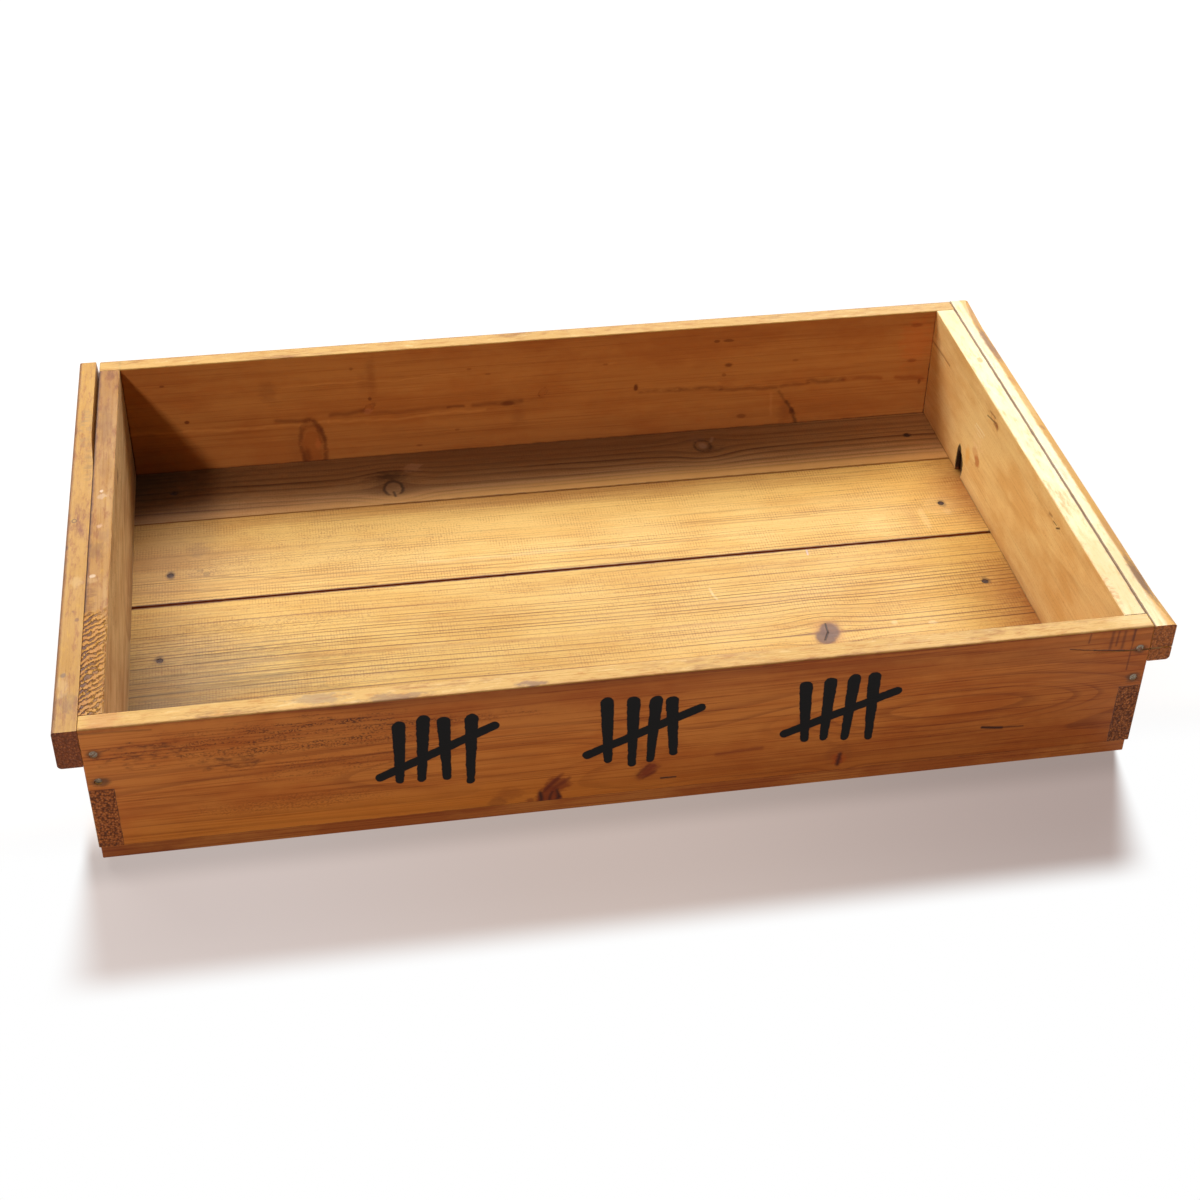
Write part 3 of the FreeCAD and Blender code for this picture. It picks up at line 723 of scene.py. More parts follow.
rust = (120, 48, 18)
rearWood = {
    "pith": (40.0, -260.0),
    "tilt": (-0.03, 0.0),
    "ring": 4.0,
    "early": shade(172, 114, 60),
    "late": shade(138, 80, 36),
    "mottle": shade(226, 190, 150),
    "mottleAmount": 0.45,
    "ringDepth": 0.3,
    "fibre": 0.3,
    "streak": 0.2,
    "pores": 0.08,
    "knotColour": shade(128, 66, 26),
    "knotRim": shade(92, 42, 16),
    "knots": (
        knot(
            (-162, 25), (8.6, 21.5), lean=0.06, turns=1.5, depth=0.4, spread=1.8, press=0.6, wobble=0.35,
            rim=0.8, closed=0.16),
        knot((-121, 54), (3.8, 3), lean=-0.8, depth=0.6, wobble=2, rim=0.4, turns=1.4),
        knot((1.5, 55.5), (3.4, 4.6), lean=-0.4, depth=0.35, wobble=2.2, rim=0.7, turns=1.4, closed=-0.04),
        knot((181, 30), (6, 20), lean=0.5, depth=0, spread=1.6, press=0.6),
    ),
    "spots": (
        (-247, 53, 2, 1.6, 0.9), (-260.5, 83, 2, 1, 0.6), (-23.5, 48.6, 5, 2.4, 0.7),
        (68.6, 53.8, 2, 3, 0.9), (-120.4, 61, 1.6, 1.8, 0.7), (147.3, 22.8, 4, 2.2, 0.55),
        (135.7, 66.5, 3.6, 1.9, 0.75), (126.2, 86.6, 2.6, 1.3, 0.65), (134.6, 86.5, 4.4, 1.5, 0.6),
        (132.7, 58.6, 1.8, 1.5, 0.45), (184.8, 66.5, 2.6, 1.2, 0.35), (273, 88, 5, 1.8, 0.5),
        (272.3, 59, 4, 1.8, 0.5), (280, 40.5, 1.4, 2.6, 0.6), (-60, 30, 2, 1, 0.4),
        (46.5, 74.6, 2.2, 1, 0.4), (-132, 86, 1.6, 1.4, 0.45), (184.8, 24, 2, 3.2, 0.75),
        (-87.5, 19.5, 2.6, 1.2, 0.4), (-50.5, 79, 2.2, 1, 0.4), (-37, 74, 2.4, 0.8, 0.35),
    ),
    "cracks": (
        vein((-186, 48.8), (-164, 47.5), depth=0.5),
        vein((-148, 48.8), (-126, 51), half=0.5, depth=0.5),
        vein((-126, 50), (-66, 49), depth=0.3),
        vein((-66, 48.5), (-55, 48.5), soft=1.6),
        vein((-48, 49), (-14, 49.4), half=0.5, depth=0.5),
        vein((-14, 49.4), (2, 50), depth=0.25),
        vein((72, 51.6), (100, 49.2), half=0.6, depth=0.55),
        vein((98, 49.6), (131, 47.4), half=0.7, depth=0.6),
        vein((131, 47.4), (172, 44.4), depth=0.45),
        vein((176, 44.8), (196, 46.6), depth=0.45),
        vein((196, 46.8), (222, 48), half=0.9, depth=0.6),
        vein((222, 48), (250, 46.4), depth=0.5, colour=(120, 48, 16)),
        vein((262, 46), (282, 41.5), depth=0.5, colour=(120, 48, 16)),
        vein((-286, 46), (-150, 44.5), half=0.3, soft=1.6, depth=0.24, colour=(214, 150, 84)),
        vein((-150, 43.5), (-40, 44.5), half=0.3, soft=1.6, depth=0.22, colour=(214, 150, 84)),
        vein((-180, 75), (-60, 75.5), half=0.1, soft=0.9, depth=0.16, colour=(214, 150, 84)),
        crack((-160.5, 46), (-156, 38.5), 0.5, 2, 0.5, (84, 38, 16), bite=0, bent="loose"),
        crack((-156, 38.5), (-153.6, 30), 0.5, 2, 0.5, (88, 40, 16), bite=0, bent="loose"),
        crack((-158.5, 40), (-156.4, 28), 0.2, 1.2, 0.4, (96, 44, 18), bite=0, bent="loose"),
        crack((174, 41), (180, 31), 0.3, 1.8, 0.5, (98, 58, 26), bite=0, bent="loose"),
        crack((179.5, 32), (185, 23.5), 0.5, 1.8, 0.6, (72, 38, 18), bite=0, bent="loose"),
        crack((185, 23.5), (188.5, 12), 1, 1.8, 0.65, (70, 36, 16), bite=0.05, bent="loose"),
        crack((168.6, 40), (169.4, 22), 0.3, 1.6, 0.22, (196, 130, 80), bite=0, bent="loose"),
    ),
    "stainsAndShade": (
        patch((-163, 26), (8.4, 20), 0.4, (146, 76, 30), ragged=0.8),
        patch((-167, 17), (3.6, 9), 0.55, (96, 48, 20), ragged=1),
        patch((-158.5, 27), (2.6, 6), 0.35, (196, 112, 60), ragged=1.2),
        patch((-174, 30), (8, 20), 0.22, (120, 66, 34), ragged=0.8, hard=0),
        patch((-118.5, 78), (4.6, 22), 0.34, (104, 54, 26), ragged=0.9, hard=0),
        patch((-124.5, 74), (5, 14), 0.2, (110, 62, 34), ragged=0.9, hard=0),
        patch((-122.5, 51), (4, 2.4), 0.3, (196, 126, 92), ragged=2),
        patch((-16, 38), (7, 11), 0.25, (110, 58, 28), ragged=1.2, hard=0),
        patch((-24, 50), (14, 5), 0.3, (104, 52, 24), hard=0),
        patch((180, 24), (7, 13), 0.4, (110, 60, 28), ragged=1.2, hard=0.1),
        patch((134, 52), (8, 7), 0.22, rust, ragged=2, hard=0),
        patch((274, 74), (14, 22), 0.22, (196, 96, 44), ragged=2),
        patch((-190, 72), (8, 10), 0.2, (96, 56, 32)),
        wash((110, 100), (330, 34), 0.36, (196, 150, 134), ragged=0.5, hard=0.1),
        wash((120, 12), (190, 22), 0.35, (206, 176, 160), ragged=0.5),
        # Painted shade in the lower left corner of the wall.
        wash((-274, 20), (30, 40), 0.4, (140, 126, 116), ragged=0.6),
    ),
    "seams": cornerSeams + (
        seam((-innerEnd, floorTop), (innerEnd, floorTop), 0.5, 1.0, 0.7),
        seam((-innerEnd, floorTop), (-innerEnd, rimLevel), 0.4, 1.0, 0.7),
        seam((innerEnd, floorTop), (innerEnd, rimLevel), 0.3, 0.8, 0.6),
    ),
    "shine": 0.2,
    "seed": 11.0,
}
rearRim = {
    **frontRim,
    "colour": shade(206, 168, 92),
    "edge": (1, 1, -frontFace),
    "marks": (
        patch((60, 186), (60, 5), 0.3, (180, 124, 66), streaks=(14, 3, 3)),
        patch((-230, 188), (40, 4), 0.3, (170, 116, 60), streaks=(14, 3, 3)),
    ),
}
rearPaint = WoodPaint("rear board wood", rearWood)
wornRim(rearPaint, rearRim)
dress("rear_board", rearPaint.done())

leftEndWood = {
    "axes": (1, 2, 0),
    "pith": (30.0, -90.0),
    "tilt": (0.0, 0.05),
    "ring": 3.4,
    "early": shade(210, 180, 130),
    "late": shade(156, 112, 70),
    "mottle": shade(206, 174, 146),
    "pores": 0.6,
    "endGrain": shade(160, 90, 44),
    "stainsAndShade": (
        wash((40, 13), (190, 20), 0.4, (150, 124, 98), hard=0.1, ragged=0.5),
        patch((0, 82), (150, 14), 0.6, (116, 74, 40), streaks=(9, 2.4, 2.4), dots=0.2, on=inside),
        patch((66, 87), (9, 3.4), 0.7, (104, 54, 30), ragged=2, on=inside),
        # Painted shade towards the rear corner.
        wash((190, 40), (60, 60), 0.55, (130, 112, 104), ragged=0.5),
    ),
    "seed": 17.0,
}
leftEndRim = {
    "colour": shade(166, 112, 12),
    "scuff": shade(206, 162, 70),
    "bruise": shade(190, 146, 70),
    "edgeDark": shade(132, 84, 50),
    "cream": shade(206, 156, 44),
    "edge": (0, -1, halfLength),
    "edgeDepth": 0.7,
    "joint": (0, -halfLength, 0.5, 0.85),
    "marks": (
        wash((-294, 150), (20, 110), 0.5, (200, 178, 144), ragged=0.5),
        patch((-294, 110), (5, 26), 0.35, (112, 70, 30)),
        patch((-292, 60), (5, 14), 0.3, (132, 86, 36)),
        patch((-294, 33.6), (1.2, 1.6), 0.55, (240, 222, 200), ragged=1.6),
        patch((-293, 28), (3.4, 3), 0.4, (206, 178, 150), ragged=2.8),
        patch((-294, -4), (2.2, 2.2), 0.4, (226, 190, 160), ragged=2.4),
        patch((-296.6, -54.7), (2.4, 1.8), 0.55, (236, 214, 186), ragged=2.4),
        patch((-298, -58), (5, 3), 0.3, (210, 176, 124), ragged=2.6),
        patch((-295, -30), (5, 9), 0.5, (116, 74, 28), ragged=2),
        patch((-297, -76), (5, 16), 0.5, (110, 64, 24), streaks=(3, 3, 8)),
        patch((-291, -14), (5, 7), 0.35, (128, 82, 44)),
    ),
}
leftEndPaint = WoodPaint("left end wood", leftEndWood)
wornRim(leftEndPaint, leftEndRim)
tearStrip(leftEndPaint)
dress("left_end_board", leftEndPaint.done())

rightEndWood = {
    "axes": (1, 2, 0),
    "pith": (20.0, 130.0),
    "tilt": (0.02, 0.03),
    "ring": 4.4,
    "early": shade(246, 216, 150),
    "late": shade(208, 162, 96),
    "mottle": shade(232, 202, 166),
    "ringDepth": 0.22,
    "fibre": 0.16,
    "streak": 0.1,
    "pores": 0.1,
    "speckle": 0.2,
    "endGrain": shade(138, 80, 44),
    "cracks": (
        crack((60, 68.6), (77, 67.6), 0.35, 0.6, 0.85, (255, 240, 200), bite=0.1),
        crack((62, 65.6), (79, 65), 0.35, 0.6, 0.75, (255, 236, 196), bite=0.1),
        crack((66, 62.8), (73, 62.4), 0.3, 0.6, 0.6, (255, 236, 196), bite=0.1),
        crack((-77, 87.5), (-72.5, 84.5), 0.5, 0.5),
        crack((-72.5, 86.5), (-66.5, 85.8), 0.3, 0.35, 0.8),
        crack((-64, 87.5), (-59, 86.5), 0.6, 1, 0.5, rust),
        crack((41, 87.5), (47, 86.5), 1.2, 1.4, 0.6, rust),
        crack((44, 88), (60, 84.5), 0.35, 0.6, 0.7),
        crack((46, 91), (56, 90), 0.5, 1, 0.5, rust),
        crack((140, 76), (179, 74), 0.5, 1, 0.5, rust),
        crack((-176, 60), (-140, 63), 0.3, 0.5, 0.2),
    ),
    "stainsAndShade": (
        patch((69, 54), (12, 8), 0.6, (255, 222, 170), ragged=2, streaks=(3, 3, 3)),
        patch((66, 43.5), (5.5, 5), 0.75, (184, 104, 44), ragged=1.2),
        patch((72, 47), (6, 4), 0.4, (206, 134, 74), ragged=2),
        patch((84, 37), (5, 8), 0.55, (240, 176, 70), ragged=1.2),
        patch((-66, 86), (16, 3), 0.4, (190, 132, 60), ragged=2.2, streaks=(5, 2, 2)),
        patch((52, 89), (14, 4), 0.45, (188, 126, 60), ragged=2.2, streaks=(5, 2, 2)),
        patch((41.5, 86.5), (3, 2.6), 0.6, (160, 92, 44), ragged=1.6),
        # Painted shadow of the rear wall on the inner face, towards the rear corner.
        wash((192, 10), (100, 110), 0.5, (214, 150, 116), ragged=0.5),
        wash((0, 13), (200, 8), 0.4, (200, 150, 100), hard=0.1, ragged=0.5),
    ),
    "seams": (seam((-179.0, floorTop), (179.0, floorTop), 0.4, 0.9, 0.6),),
    # Painted shade inside the chip at the foot of the wall.
    "hollows": (
        patch((97, 21), (7, 11), 0.95, (30, 13, 7), hard=0.85, ragged=0.4),
        patch((99.5, 28), (4, 8), 0.95, (30, 13, 7), hard=0.85, ragged=0.4),
    ),
    "hollowDepth": (299.0, 296.0),    # they fade out between these places across the board
    "seed": 23.0,
}
# Its pale colour and cream are partly bleached wood and partly a painted highlight of glare from the rear
# right.
rightEndRim = {
    "colour": shade(252, 233, 184),
    "scuff": shade(240, 214, 178),
    "bruise": shade(230, 198, 168),
    "edgeDark": shade(190, 140, 96),
    "cream": shade(255, 250, 230),
    "cover": 0.9,
    "edge": (0, 1, halfLength),
    "joint": (0, halfLength, 0.9, 0.85),
    "marks": (
        patch((293, -136), (12, 62), 0.65, (232, 192, 130), hard=0.3, ragged=0.6),
        patch((293, 160), (12, 50), 0.5, (242, 206, 136), hard=0.2, ragged=0.6),
        patch((295.3, 108.3), (2.4, 3.6), 0.6, (196, 140, 50)),
        patch((288, -155), (3, 20), 0.5, (196, 134, 70), streaks=(3, 3, 6)),
        patch((294, 0), (4, 12), 0.35, (226, 178, 138)),
    ),
}
rightEndPaint = WoodPaint("right end wood", rightEndWood)
wornRim(rightEndPaint, rightEndRim)
dress("right_end_board", rightEndPaint.done())

railWood = {
    "axes": (1, 2, 0),
    "pith": (60.0, 0.0),
    "ring": 3.2,
    "early": shade(206, 156, 86),
    "late": shade(156, 98, 46),
    "endGrain": shade(124, 64, 34),
    "pebbles": 0.6,
    "rough": (0.36, 0.54),
}
leftRailRim = {
    **leftEndRim,
    "colour": shade(176, 128, 20),
    "edge": (0, -1, railEdge),
    "band": (1.4, 0.5, shade(150, 88, 40)),
    "joint": None,
    "marks": (
        patch((-305, -168), (5, 10), 0.45, (118, 80, 34), ragged=2.2),
        patch((-309, -153), (3.4, 10), 0.3, (214, 178, 126), ragged=2.8),
        patch((-309, -144), (1.8, 2.2), 0.7, (104, 80, 62), ragged=1.2),
        patch((-303.4, -94.8), (1.6, 2.2), 0.75, (112, 62, 26), ragged=1.6),
        patch((-306, -87), (1.2, 1.2), 0.6, (120, 68, 30), ragged=1.6),
        patch((-303, 70), (3, 46), 0.45, (118, 82, 34), streaks=(3, 3, 12)),
        patch((-309.1, 3.6), (1.7, 2.1), 0.85, (84, 56, 22), ragged=0.3, hard=0.8),
        patch((-309.1, 3.6), (1, 1.3), 0.85, (180, 134, 50), ragged=0.3, hard=0.8),
        patch((-303.4, 7), (1.4, 1.6), 0.6, (134, 84, 30), ragged=1.6),
        patch((-312.6, -24.5), (1.4, 3), 0.8, (110, 62, 30), ragged=1.2),
        patch((-304, -59), (6, 5), 0.25, (216, 184, 130), ragged=2.8),
        patch((-306, 110), (5, 26), 0.4, (120, 96, 66), ragged=2, streaks=(3, 3, 9)),
    ),
}
leftRailPaint = WoodPaint("left rail wood", {**railWood, "seed": 29.0})
wornRim(leftRailPaint, leftRailRim)
dress("left_hand_rail", leftRailPaint.done())

rightRailWood = {**railWood, "seed": 37.0, "early": shade(216, 166, 96), "endGrain": shade(158, 92, 46)}
# The rail takes the end rim's pale colour, partly a painted highlight.
rightRailRim = {
    **rightEndRim,
    "edge": (0, 1, railEdge),
    "band": (7.0, 0.9, shade(212, 152, 44)),
    "joint": (0, halfLength, 0.5, 0.8),
    "marks": (
        patch((303, -140), (6, 52), 0.6, (230, 186, 116), hard=0.3, ragged=0.8),
        patch((303, 150), (6, 50), 0.5, (234, 196, 128), hard=0.3, ragged=0.8),
        patch((309.6, -144), (4.4, 26), 0.85, (124, 86, 58)),
        patch((309.8, -100), (4, 26), 0.55, (190, 134, 70), ragged=1.6),
        patch((309.6, 132), (4.2, 27), 0.8, (142, 100, 70)),
        patch((310, 172), (4, 16), 0.5, (190, 148, 106), ragged=1.6),
        patch((309, 82), (3.4, 4), 0.6, (196, 128, 62), ragged=1.8),
        patch((309, 22), (2.8, 3), 0.6, (170, 110, 58), ragged=1.8),
        patch((309.5, 55), (4, 26), 0.5, (236, 200, 134), ragged=1.6),
        patch((303, -35), (1.6, 8), 0.5, (230, 176, 140), ragged=2),
    ),
}
railSplit = {"line": ((300.0, 82.0), (313.3, 82.8), 0.4, 0.4, 0.85), "colour": shade(40, 20, 12)}


# The split that crosses the front corner goes on through the rail's end.
def splitEnd(paint):
    line = paint.stroke(paint.vector(paint.place[0], paint.place[2], 0.0), *railSplit["line"])
    paint.lay(railSplit["colour"], line * paint.on(*outside))


rightRailPaint = WoodPaint("right rail wood", rightRailWood)
wornRim(rightRailPaint, rightRailRim)
splitEnd(rightRailPaint)
dress("right_hand_rail", rightRailPaint.done())

floorWood = {
    "axes": (0, 1, 2),
    "early": shade(234, 192, 106),
    "late": shade(118, 74, 30),
    "mottle": shade(232, 204, 156),
    "mottleAmount": 0.3,
    "lateStart": 0.6,
    "ripple": 0.25,
    "streak": 0.25,
    "fibre": 0.3,
    "relief": 0.14,
    "edge": shade(178, 110, 50),
    "chatter": 0.34,
    "speckle": 0.28,
    "knotColour": shade(116, 76, 58),
    "knotRim": shade(84, 50, 34),
    "seamColour": shade(88, 42, 16),
}
floorWoods = {
    "floor_board_front": {
        **floorWood,
        "pith": (-250.0, -60.0),
        "ring": 3.6,
        "wander": 14.0,
        "early": shade(222, 180, 92),
        "ringDepth": 0.9,
        "ringShare": (30.0, 0.0, 0.45, 1.0),
        "knots": (
            knot(
                (148.7, -66.4), (8, 11), lean=-0.35, turns=1, depth=0.6, spread=2, wobble=0.3, rim=0.3,
                press=0.6),
        ),
        "cracks": (
            crack((149.4, -56.5), (148.8, -65.5), 0.45, 0.4),
            crack((148.8, -65.5), (145, -73), 0.5, 0.4),
            crack((84, -9), (84.6, -15), 0.3, 1.1, 0.22, (255, 236, 190), bite=0),
            crack((84.6, -15), (86.4, -21), 0.3, 1.1, 0.22, (255, 236, 190), bite=0),
            crack((157, 18), (157.5, 24.5), 0.6, 0.5, 0.75, (214, 190, 190)),
            crack((-20, -92), (-6, -97), 0.3, 0.6, 0.4, (255, 236, 190)),
        ),
        "spots": ((-269, -30.6, 3.6, 4, 0.6), (266, -27.2, 3.4, 4.2, 0.6)),
        "stainsAndShade": (
            # Darker along the left end wall: partly grime, partly painted shade of the wall.
            wash((-300, -90), (136, 136), 0.95, (166, 148, 128)),
            patch((-240, -60), (110, 50), 0.5, (104, 82, 40), streaks=(60, 1.8, 6)),
            # Darker along the right end wall: partly grime, partly painted shade of the wall.
            wash((300, -60), (62, 110), 0.95, (178, 130, 92)),
            wash((-140, -90), (230, 110), 0.8, (232, 232, 214)),
            patch((149, -66), (11.5, 15), 0.6, (190, 126, 66), ragged=0.8, hard=0.3),
            patch((146.4, -69.6), (6.6, 8), 0.9, (106, 72, 52), ragged=0.5, hard=0.7),
            patch((150.2, -64), (6.6, 8.6), 0.9, (106, 72, 54), ragged=0.5, hard=0.7),
            patch((193.5, -62), (3, 2.4), 0.25, (255, 232, 180), ragged=2),
            patch((217.5, -65), (4.6, 2.4), 0.28, (255, 232, 180), ragged=2),
            patch((-195, -4), (60, 10), 0.3, (140, 100, 50), dots=0.2, ragged=2),
        ),
        "seed": 41.0,
    },
    "floor_board_middle": {
        **floorWood,
        "pith": (-180.0, -30.0),
        "ring": 3.4,
        "ringDepth": 0.68,
        "ringShare": (90.0, 50.0, 0.35, 1.0),
        "chatter": 0.4,
        "spots": (
            (-262, 57, 3.4, 5.2, 0.75), (264.2, 62.6, 3.4, 5, 0.6), (-239, 55, 2.4, 3.4, 0.35),
            (-243, 59, 3, 2, 0.3)),
        "cracks": (
            crack((-100, 47), (40, 47), 1, 2.4, 0.25, (255, 226, 160), bite=0, bent="wavy"),
            crack((160, 66), (250, 63), 0.2, 1.2, 0.4, (160, 108, 54), bite=0, bent="wavy"),
            crack((-250, 54), (-190, 44), 0.4, 1.4, 0.45, (140, 96, 44), bite=0),
            crack((-190, 44), (-40, 42.5), 0.3, 1.3, 0.4, (140, 96, 44), bite=0),
            crack((-286, 41), (-226, 36), 0.4, 1.4, 0.45, (134, 88, 40), bite=0),
            crack((-226, 36), (-130, 28.5), 0.3, 1.3, 0.4, (140, 96, 44), bite=0),
            crack((-130, 35), (120, 33.5), 0.3, 1.2, 0.35, (150, 104, 50), bite=0, bent="wavy"),
            crack((80, 66), (170, 63), 0.2, 0.8, 0.4, (150, 100, 50)),
        ),
        "stainsAndShade": (
            # Darker along the left end wall: partly grime, partly painted shade of the wall.
            wash((-300, 80), (120, 100), 0.75, (190, 164, 136)),
            # Painted shade of the rear wall's shadow along the board's rear edge.
            wash((0, 122), (340, 24), 0.7, (196, 158, 124), hard=0.2, ragged=0.3),
            patch((-150, 80), (120, 26), 0.3, (150, 104, 50), dots=0.2, streaks=(12, 8, 8)),
            wash((-180, 72), (130, 60), 0.9, (234, 232, 224)),
            patch((-130, 58), (46, 13), 0.36, (160, 104, 44), dots=0.3, ragged=2),
            patch((-225, 62), (40, 12), 0.36, (140, 96, 46), dots=0.3, ragged=2),
            patch((-238, 58), (14, 7), 0.6, (134, 84, 40), dots=0.3),
            patch((214, 44), (17, 14), 0.26, (255, 224, 150), ragged=1.2, hard=0.1),
            patch((239, 47), (6, 18), 0.4, (200, 146, 80), ragged=1.2, hard=0.1),
            patch((247, 48), (3, 15), 0.22, (255, 226, 164), ragged=1.2),
            patch((265, 53), (3, 4), 0.25, (255, 226, 164)),
            patch((-244, 82), (8, 9), 0.3, (140, 100, 60)),
            patch((262, 60), (14, 16), 0.2, (255, 220, 150), ragged=1),
            # Darker along the right end wall: partly grime, partly painted shade of the wall.
            wash((300, 80), (52, 84), 0.95, (170, 124, 84)),
        ),
        "seed": 43.0,
    },
    "floor_board_rear": {
        **floorWood,
        "pith": (60.0, -22.0),
        "ring": 5.4,
        "wander": 26.0,
        "ripple": 0.7,
        "lateStart": 0.3,
        "ringDepth": 0.75,
        "chatter": 0.15,
        "early": shade(200, 154, 104),
        "late": shade(100, 60, 36),
        "knotColour": shade(196, 150, 104),
        "knots": (
            knot(
                (-109.6, 136.4), (6.4, 9.4), turns=1, depth=0.7, spread=2.4, wobble=0.3, rim=1.1,
                closed=0.4, gap=-0.95),
            knot((114.9, 158.8), (6, 7.4), turns=1.6, depth=0.9, wobble=0.6, rim=0.8),
        ),
        "knotRim": shade(44, 26, 16),
        "cracks": (
            crack((-109, 127), (-109.8, 132), 0.8, 0.9, 0.8, (50, 30, 20)),
            crack((122, 163), (124, 168), 0.7, 1.4, 0.5, (190, 156, 128), bite=0),
            crack((-150, 108), (0, 110), 0.5, 1.6, 0.3, (236, 190, 120), bite=0),
        ),
        "spots": ((-260.3, 152.6, 3.2, 3, 0.8), (265.5, 151.3, 3.4, 3, 0.75)),
        "stainsAndShade": (
            # Painted shade in the rear-left corner.
            wash((-300, 170), (120, 66), 0.9, (96, 92, 96), hard=0.1),
            # Painted shade of the rear wall, darker towards it.
            wash((0, 196), (400, 74), 0.8, (168, 146, 136), hard=0.1, ragged=0.3),
            # Painted light along the board's front edge, where the rear wall's shadow ends.
            patch((90, 113), (420, 20), 0.75, (216, 162, 88), ragged=0.3, hard=0.35),
            patch((-112, 152), (17, 9), 0.75, (62, 38, 26), hard=0),
            patch((-112, 144), (22, 16), 0.35, (80, 50, 34), hard=0),
            patch((-94, 161), (9, 6), 0.6, (204, 156, 118), ragged=2.2),
            patch((119, 155), (13, 8), 0.6, (72, 44, 30), ragged=1.6, hard=0),
            patch((112, 168), (8, 5), 0.4, (150, 112, 84), ragged=2),
            patch((114.9, 158.6), (3.6, 4.6), 0.7, (190, 152, 124), ragged=0.8),
        ),
        "seed": 47.0,
    },
}
# Dark lines along the gaps between the floor boards: the range across the floor that a gap lies in, then the
# start, end, half width, softness and depth of each of its lines.
floorGaps = (
    ((0.0, 40.0), ((-300.0, 300.0, 0.8, 0.8, 0.95), (-300.0, -230.0, 0.7, 0.8, 0.9))),
    ((100.0, 130.0), ((-300.0, -118.0, 0.1, 0.7, 0.5), (-118.0, 300.0, 0.5, 0.5, 0.95))),
)


def gapSeams(node):
    return tuple(
        seam((start, corner.y * 1000), (end, corner.y * 1000), *strength, upward)
        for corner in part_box(node) for (front, rear), lines in floorGaps
        if front < corner.y * 1000 < rear for start, end, *strength in lines)


for node, wood in floorWoods.items():
    dress(node, WoodPaint(node.replace("_", " "), {**wood, "seams": gapSeams(node)}).done())

runnerWood = {
    "axes": (1, 0, 2),
    "early": shade(170, 122, 78),
    "late": shade(128, 84, 50),
    "pith": (0.0, 60.0),
    "ring": 4.0,
    "rough": (0.6, 0.8),
}
for node, seed in (("left_runner", 53.0), ("right_runner", 59.0)):
    dress(node, WoodPaint(node.replace("_", " "), {**runnerWood, "seed": seed}).done())

nailSteel = {"bare": shade(150, 138, 120), "tarnish": shade(92, 80, 66), "rust": shade(110, 62, 34)}
rustedSteel = {"bare": shade(70, 50, 40), "tarnish": shade(44, 30, 24), "rust": shade(66, 36, 22)}


def nailPaint(name, steel):
    paint = Paint(name, Specular_IOR_Level=0.5)
    place = paint.millimetres(*paint.outputs("TexCoord", "Object"))
    blotch = paint.noise(place, (1.6, 1.6, 1.6), 4.0, 0.65)
    speck = paint.noise(place, (0.5, 0.5, 0.5), 3.0, 0.6, seed=2)
    rusty = paint.smooth(blotch, 0.46, 0.62)
    colour = paint.over(steel["bare"], steel["tarnish"], paint.smooth(speck, 0.4, 0.65))
    colour = paint.over(colour, steel["rust"], rusty * 0.85)
    return paint.finish(
        Base_Color=colour, Metallic=0.7 - rusty * 0.65, Roughness=0.45 + rusty * 0.35,
        Normal=paint.bump(speck * 0.08 + rusty * 0.1))


bright, rusted = nailPaint("nail steel", nailSteel), nailPaint("rusted nail steel", rustedSteel)
for node in nodes:
    if node.endswith("_nails"):
        dress(node, rusted if "runner" in node else bright)
print("nails dressed")

# Table: white and matt. Rays that see it meet plain white, except on a soft-edged patch in front of the tray,
# where a painted shadow lies over a small share of the lamps' own shadow. Lengths are in metres.
table = {
    "half": 6.0,
    "colour": (0.86, 0.85, 0.84, 1.0),
    "elsewhere": 0.85,             # how white the table near the tray is
    "lit": 0.12,                   # share of the lamps' light that the patch takes
    "fadeStart": 0.95,
    "fadeEnd": 1.5,
    "back": -0.186,
    "front": -0.281,
    "left": -0.309,
    "right": 0.296,
    "slope": 0.27,                 # how fast the right edge draws in
    "soft": 0.014,
    "near": 0.2,                   # painted contact shadow beside the tray
    # The painted shadow's colours at the left, the middle and the right.
    "tones": ((0.61, 0.525, 0.497, 1.0), (0.55, 0.452, 0.412, 1.0), (0.405, 0.325, 0.302, 1.0)),
}


def backdropRays(paint):
    return paint.most(*paint.outputs("LightPath", "Is Camera Ray", "Is Glossy Ray", "Is Transmission Ray"))


# The painted shadow patch: its right edge draws in on the way out from the tray, and both sides soften with
# it.
def paintedShadowPatch(paint, x, y):
    out = paint.maths("MAXIMUM", table["back"] - y, 0.0)
    soft = out * 0.16 + 0.0015
    right = table["right"] - out * table["slope"]
    sides = paint.smooth((right - x) / soft, -1.0, 1.0)
    sides = sides * paint.smooth((x - table["left"]) / (soft + 0.003), -1.0, 1.0)
    return sides * paint.smooth(y, table["front"] - table["soft"], table["front"] + table["soft"])


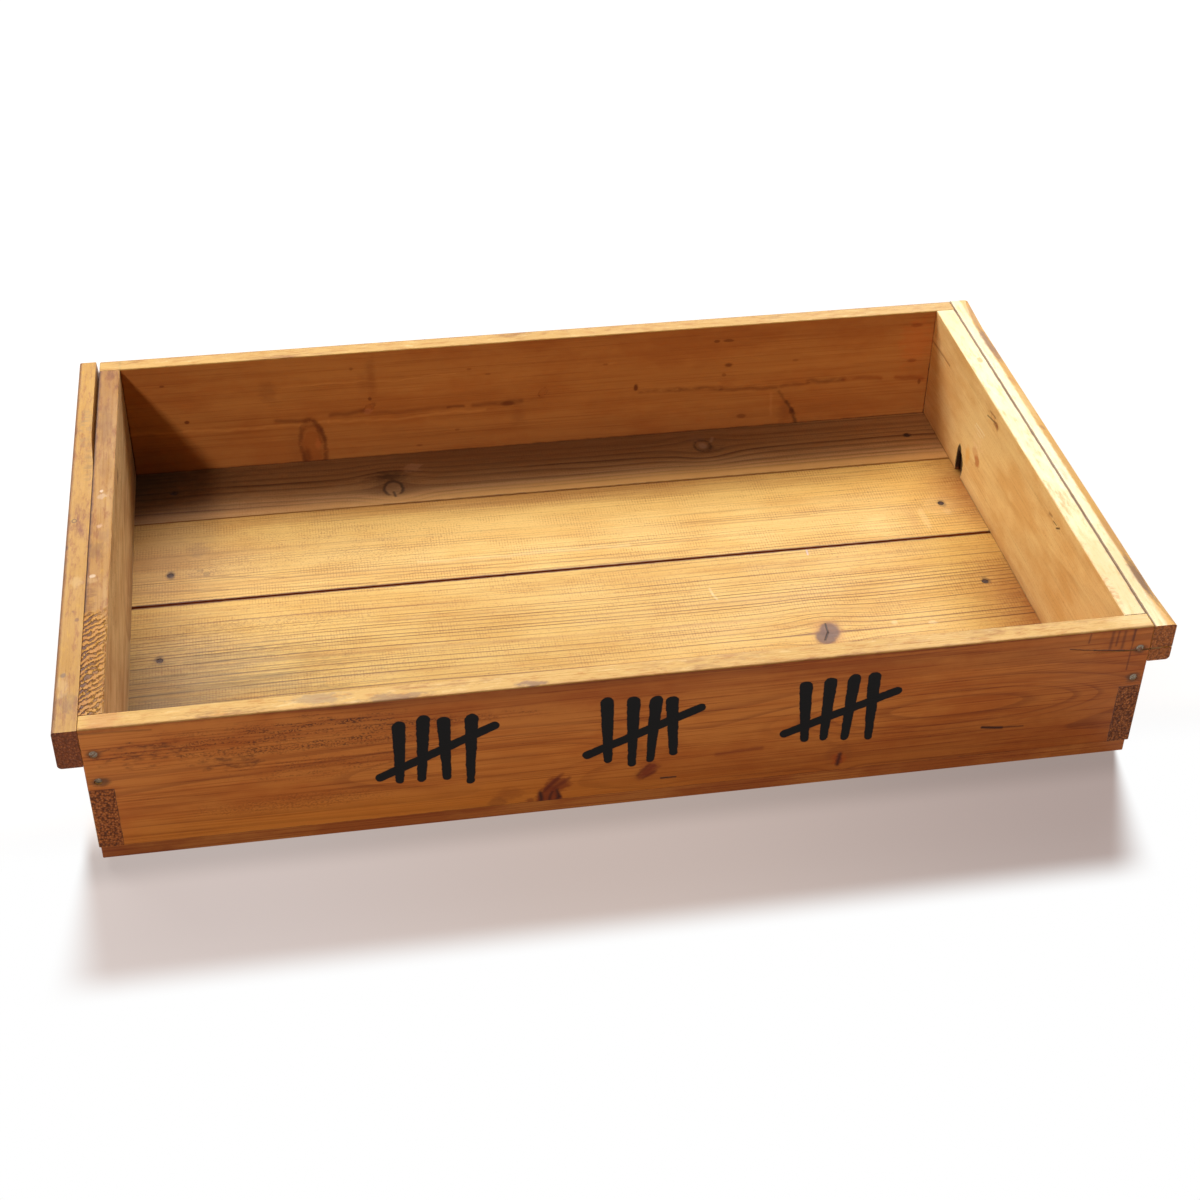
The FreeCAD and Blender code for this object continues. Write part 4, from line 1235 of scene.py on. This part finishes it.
def makeTable():
    half = table["half"]
    mesh = bpy.data.meshes.new("table")
    mesh.from_pydata([(-half, -half, 0), (half, -half, 0), (half, half, 0), (-half, half, 0)], [],
        [(0, 1, 2, 3)])
    floor = bpy.data.objects.new("table", mesh)
    bpy.context.scene.collection.objects.link(floor)
    paint = Paint("table", Roughness=0.9, Specular_IOR_Level=0.0)
    x, y = paint.parts(*paint.outputs("TexCoord", "Object"))[:2]
    ahead = paint.smooth(y, table["back"] + 0.05, table["back"] - 0.002)
    far = paint.smooth(paint.reach(x, y), table["fadeStart"], table["fadeEnd"])
    behind = far * (1 - table["elsewhere"]) + table["elsewhere"]
    plain = behind * (1 - ahead) + ahead * (1 - paintedShadowPatch(paint, x, y))
    seen = backdropRays(paint)
    own = (1 - plain) * (1 - ahead * (1 - table["lit"]))
    paint.finish(Base_Color=paint.over(table["colour"], black, seen * (1 - own)))
    # The painted shadow's colour, glowing for rays that see the table, darker still beside the tray.
    left, middle, right = table["tones"]
    tone = paint.over(left, middle, paint.smooth(x, -0.26, 0.0))
    tone = paint.over(tone, right, paint.smooth(x, -0.04, 0.29))
    paintedContactShadow = paint.smooth(y, table["back"] - 0.029, table["back"] - 0.008)
    tone = paint.over(tone, black, paintedContactShadow * table["near"])
    tone = paint.over(tone, white, plain)
    light = paint.add("Emission", (), {"Color": tone, "Strength": seen})
    both = paint.add("AddShader", (), {0: Signal(paint, paint.shader.outputs[0]), 1: light})
    paint.feed(paint.output.inputs["Surface"], both)
    mesh.materials.append(paint.material)


makeTable()

room = {"ambient": 0.025, "colour": (1.0, 0.95, 0.9, 1.0)}


# Rays that see the room meet plain white, all others a dim warm light.
def makeRoom():
    world = bpy.data.worlds.new("room")
    world.use_nodes = True
    bpy.context.scene.world = world
    walls = NodeTree(world.node_tree)
    seen = backdropRays(walls)
    dim = walls.add("Background", (), {"Color": room["colour"], "Strength": room["ambient"]})
    plain = walls.add("Background", (), {"Color": white, "Strength": 1.0})
    both = walls.add("MixShader", (), {0: seen, 1: dim, 2: plain})
    output = walls.tree.nodes.new("ShaderNodeOutputWorld")
    walls.feed(output.inputs["Surface"], both)


makeRoom()

# Lamps: a wide window behind and above, a low warm one in front, and a soft sheen from the rear right.
lamps = {
    "window": {
        "kind": "AREA", "place": (-0.6, 1.65, 2.0), "aim": (0.0, 0.0, 0.05), "size": (2.8, 1.15),
        "power": 108.0, "colour": (1.0, 0.97, 0.93)},
    "low sun": {
        "kind": "SUN", "travel": (0.65, 3.0, -1.0), "angle": 3.0, "power": 1.15, "colour": (1.0, 0.84, 0.66)},
    "sheen": {
        "kind": "AREA", "place": (1.24, 2.0, 1.48), "aim": (0.3, 0.0, 0.1), "size": (1.0, 0.8),
        "power": 40.0, "colour": (1.0, 1.0, 1.0)},
}


def makeLamp(name, lamp):
    light = bpy.data.lights.new(name, lamp["kind"])
    light.energy = lamp["power"]
    light.color = lamp["colour"]
    rig = bpy.data.objects.new(name, light)
    bpy.context.scene.collection.objects.link(rig)
    if lamp["kind"] == "SUN":
        light.angle = math.radians(lamp["angle"])
        travel = Vector(lamp["travel"])
    else:
        light.shape = "RECTANGLE"
        light.size, light.size_y = lamp["size"]
        rig.location = lamp["place"]
        travel = Vector(lamp["aim"]) - rig.location
    rig.rotation_euler = travel.to_track_quat("-Z", "Y").to_euler()


for name, lamp in lamps.items():
    makeLamp(name, lamp)
print("stage and lamps made")

camera = {
    "lens": 58.95,
    "sensor": 36.0,
    "place": (-0.1675, -1.0033, 0.7858),
    "right": (0.98596, -0.16638, 0.01436),
    "down": (-0.08998, -0.60169, -0.79365),
    "forward": (0.14068, 0.78121, -0.60821),
}


def makeCamera():
    data = bpy.data.cameras.new("camera")
    data.sensor_width = camera["sensor"]
    data.lens = camera["lens"]
    rig = bpy.data.objects.new("camera", data)
    bpy.context.scene.collection.objects.link(rig)
    axes = (Vector(camera["right"]), -Vector(camera["down"]), -Vector(camera["forward"]))
    turn = Matrix([list(axis) for axis in axes]).transposed()
    rig.matrix_world = Matrix.Translation(camera["place"]) @ turn.to_4x4()
    bpy.context.scene.camera = rig


makeCamera()
bpy.context.scene.view_settings.view_transform = "Standard"
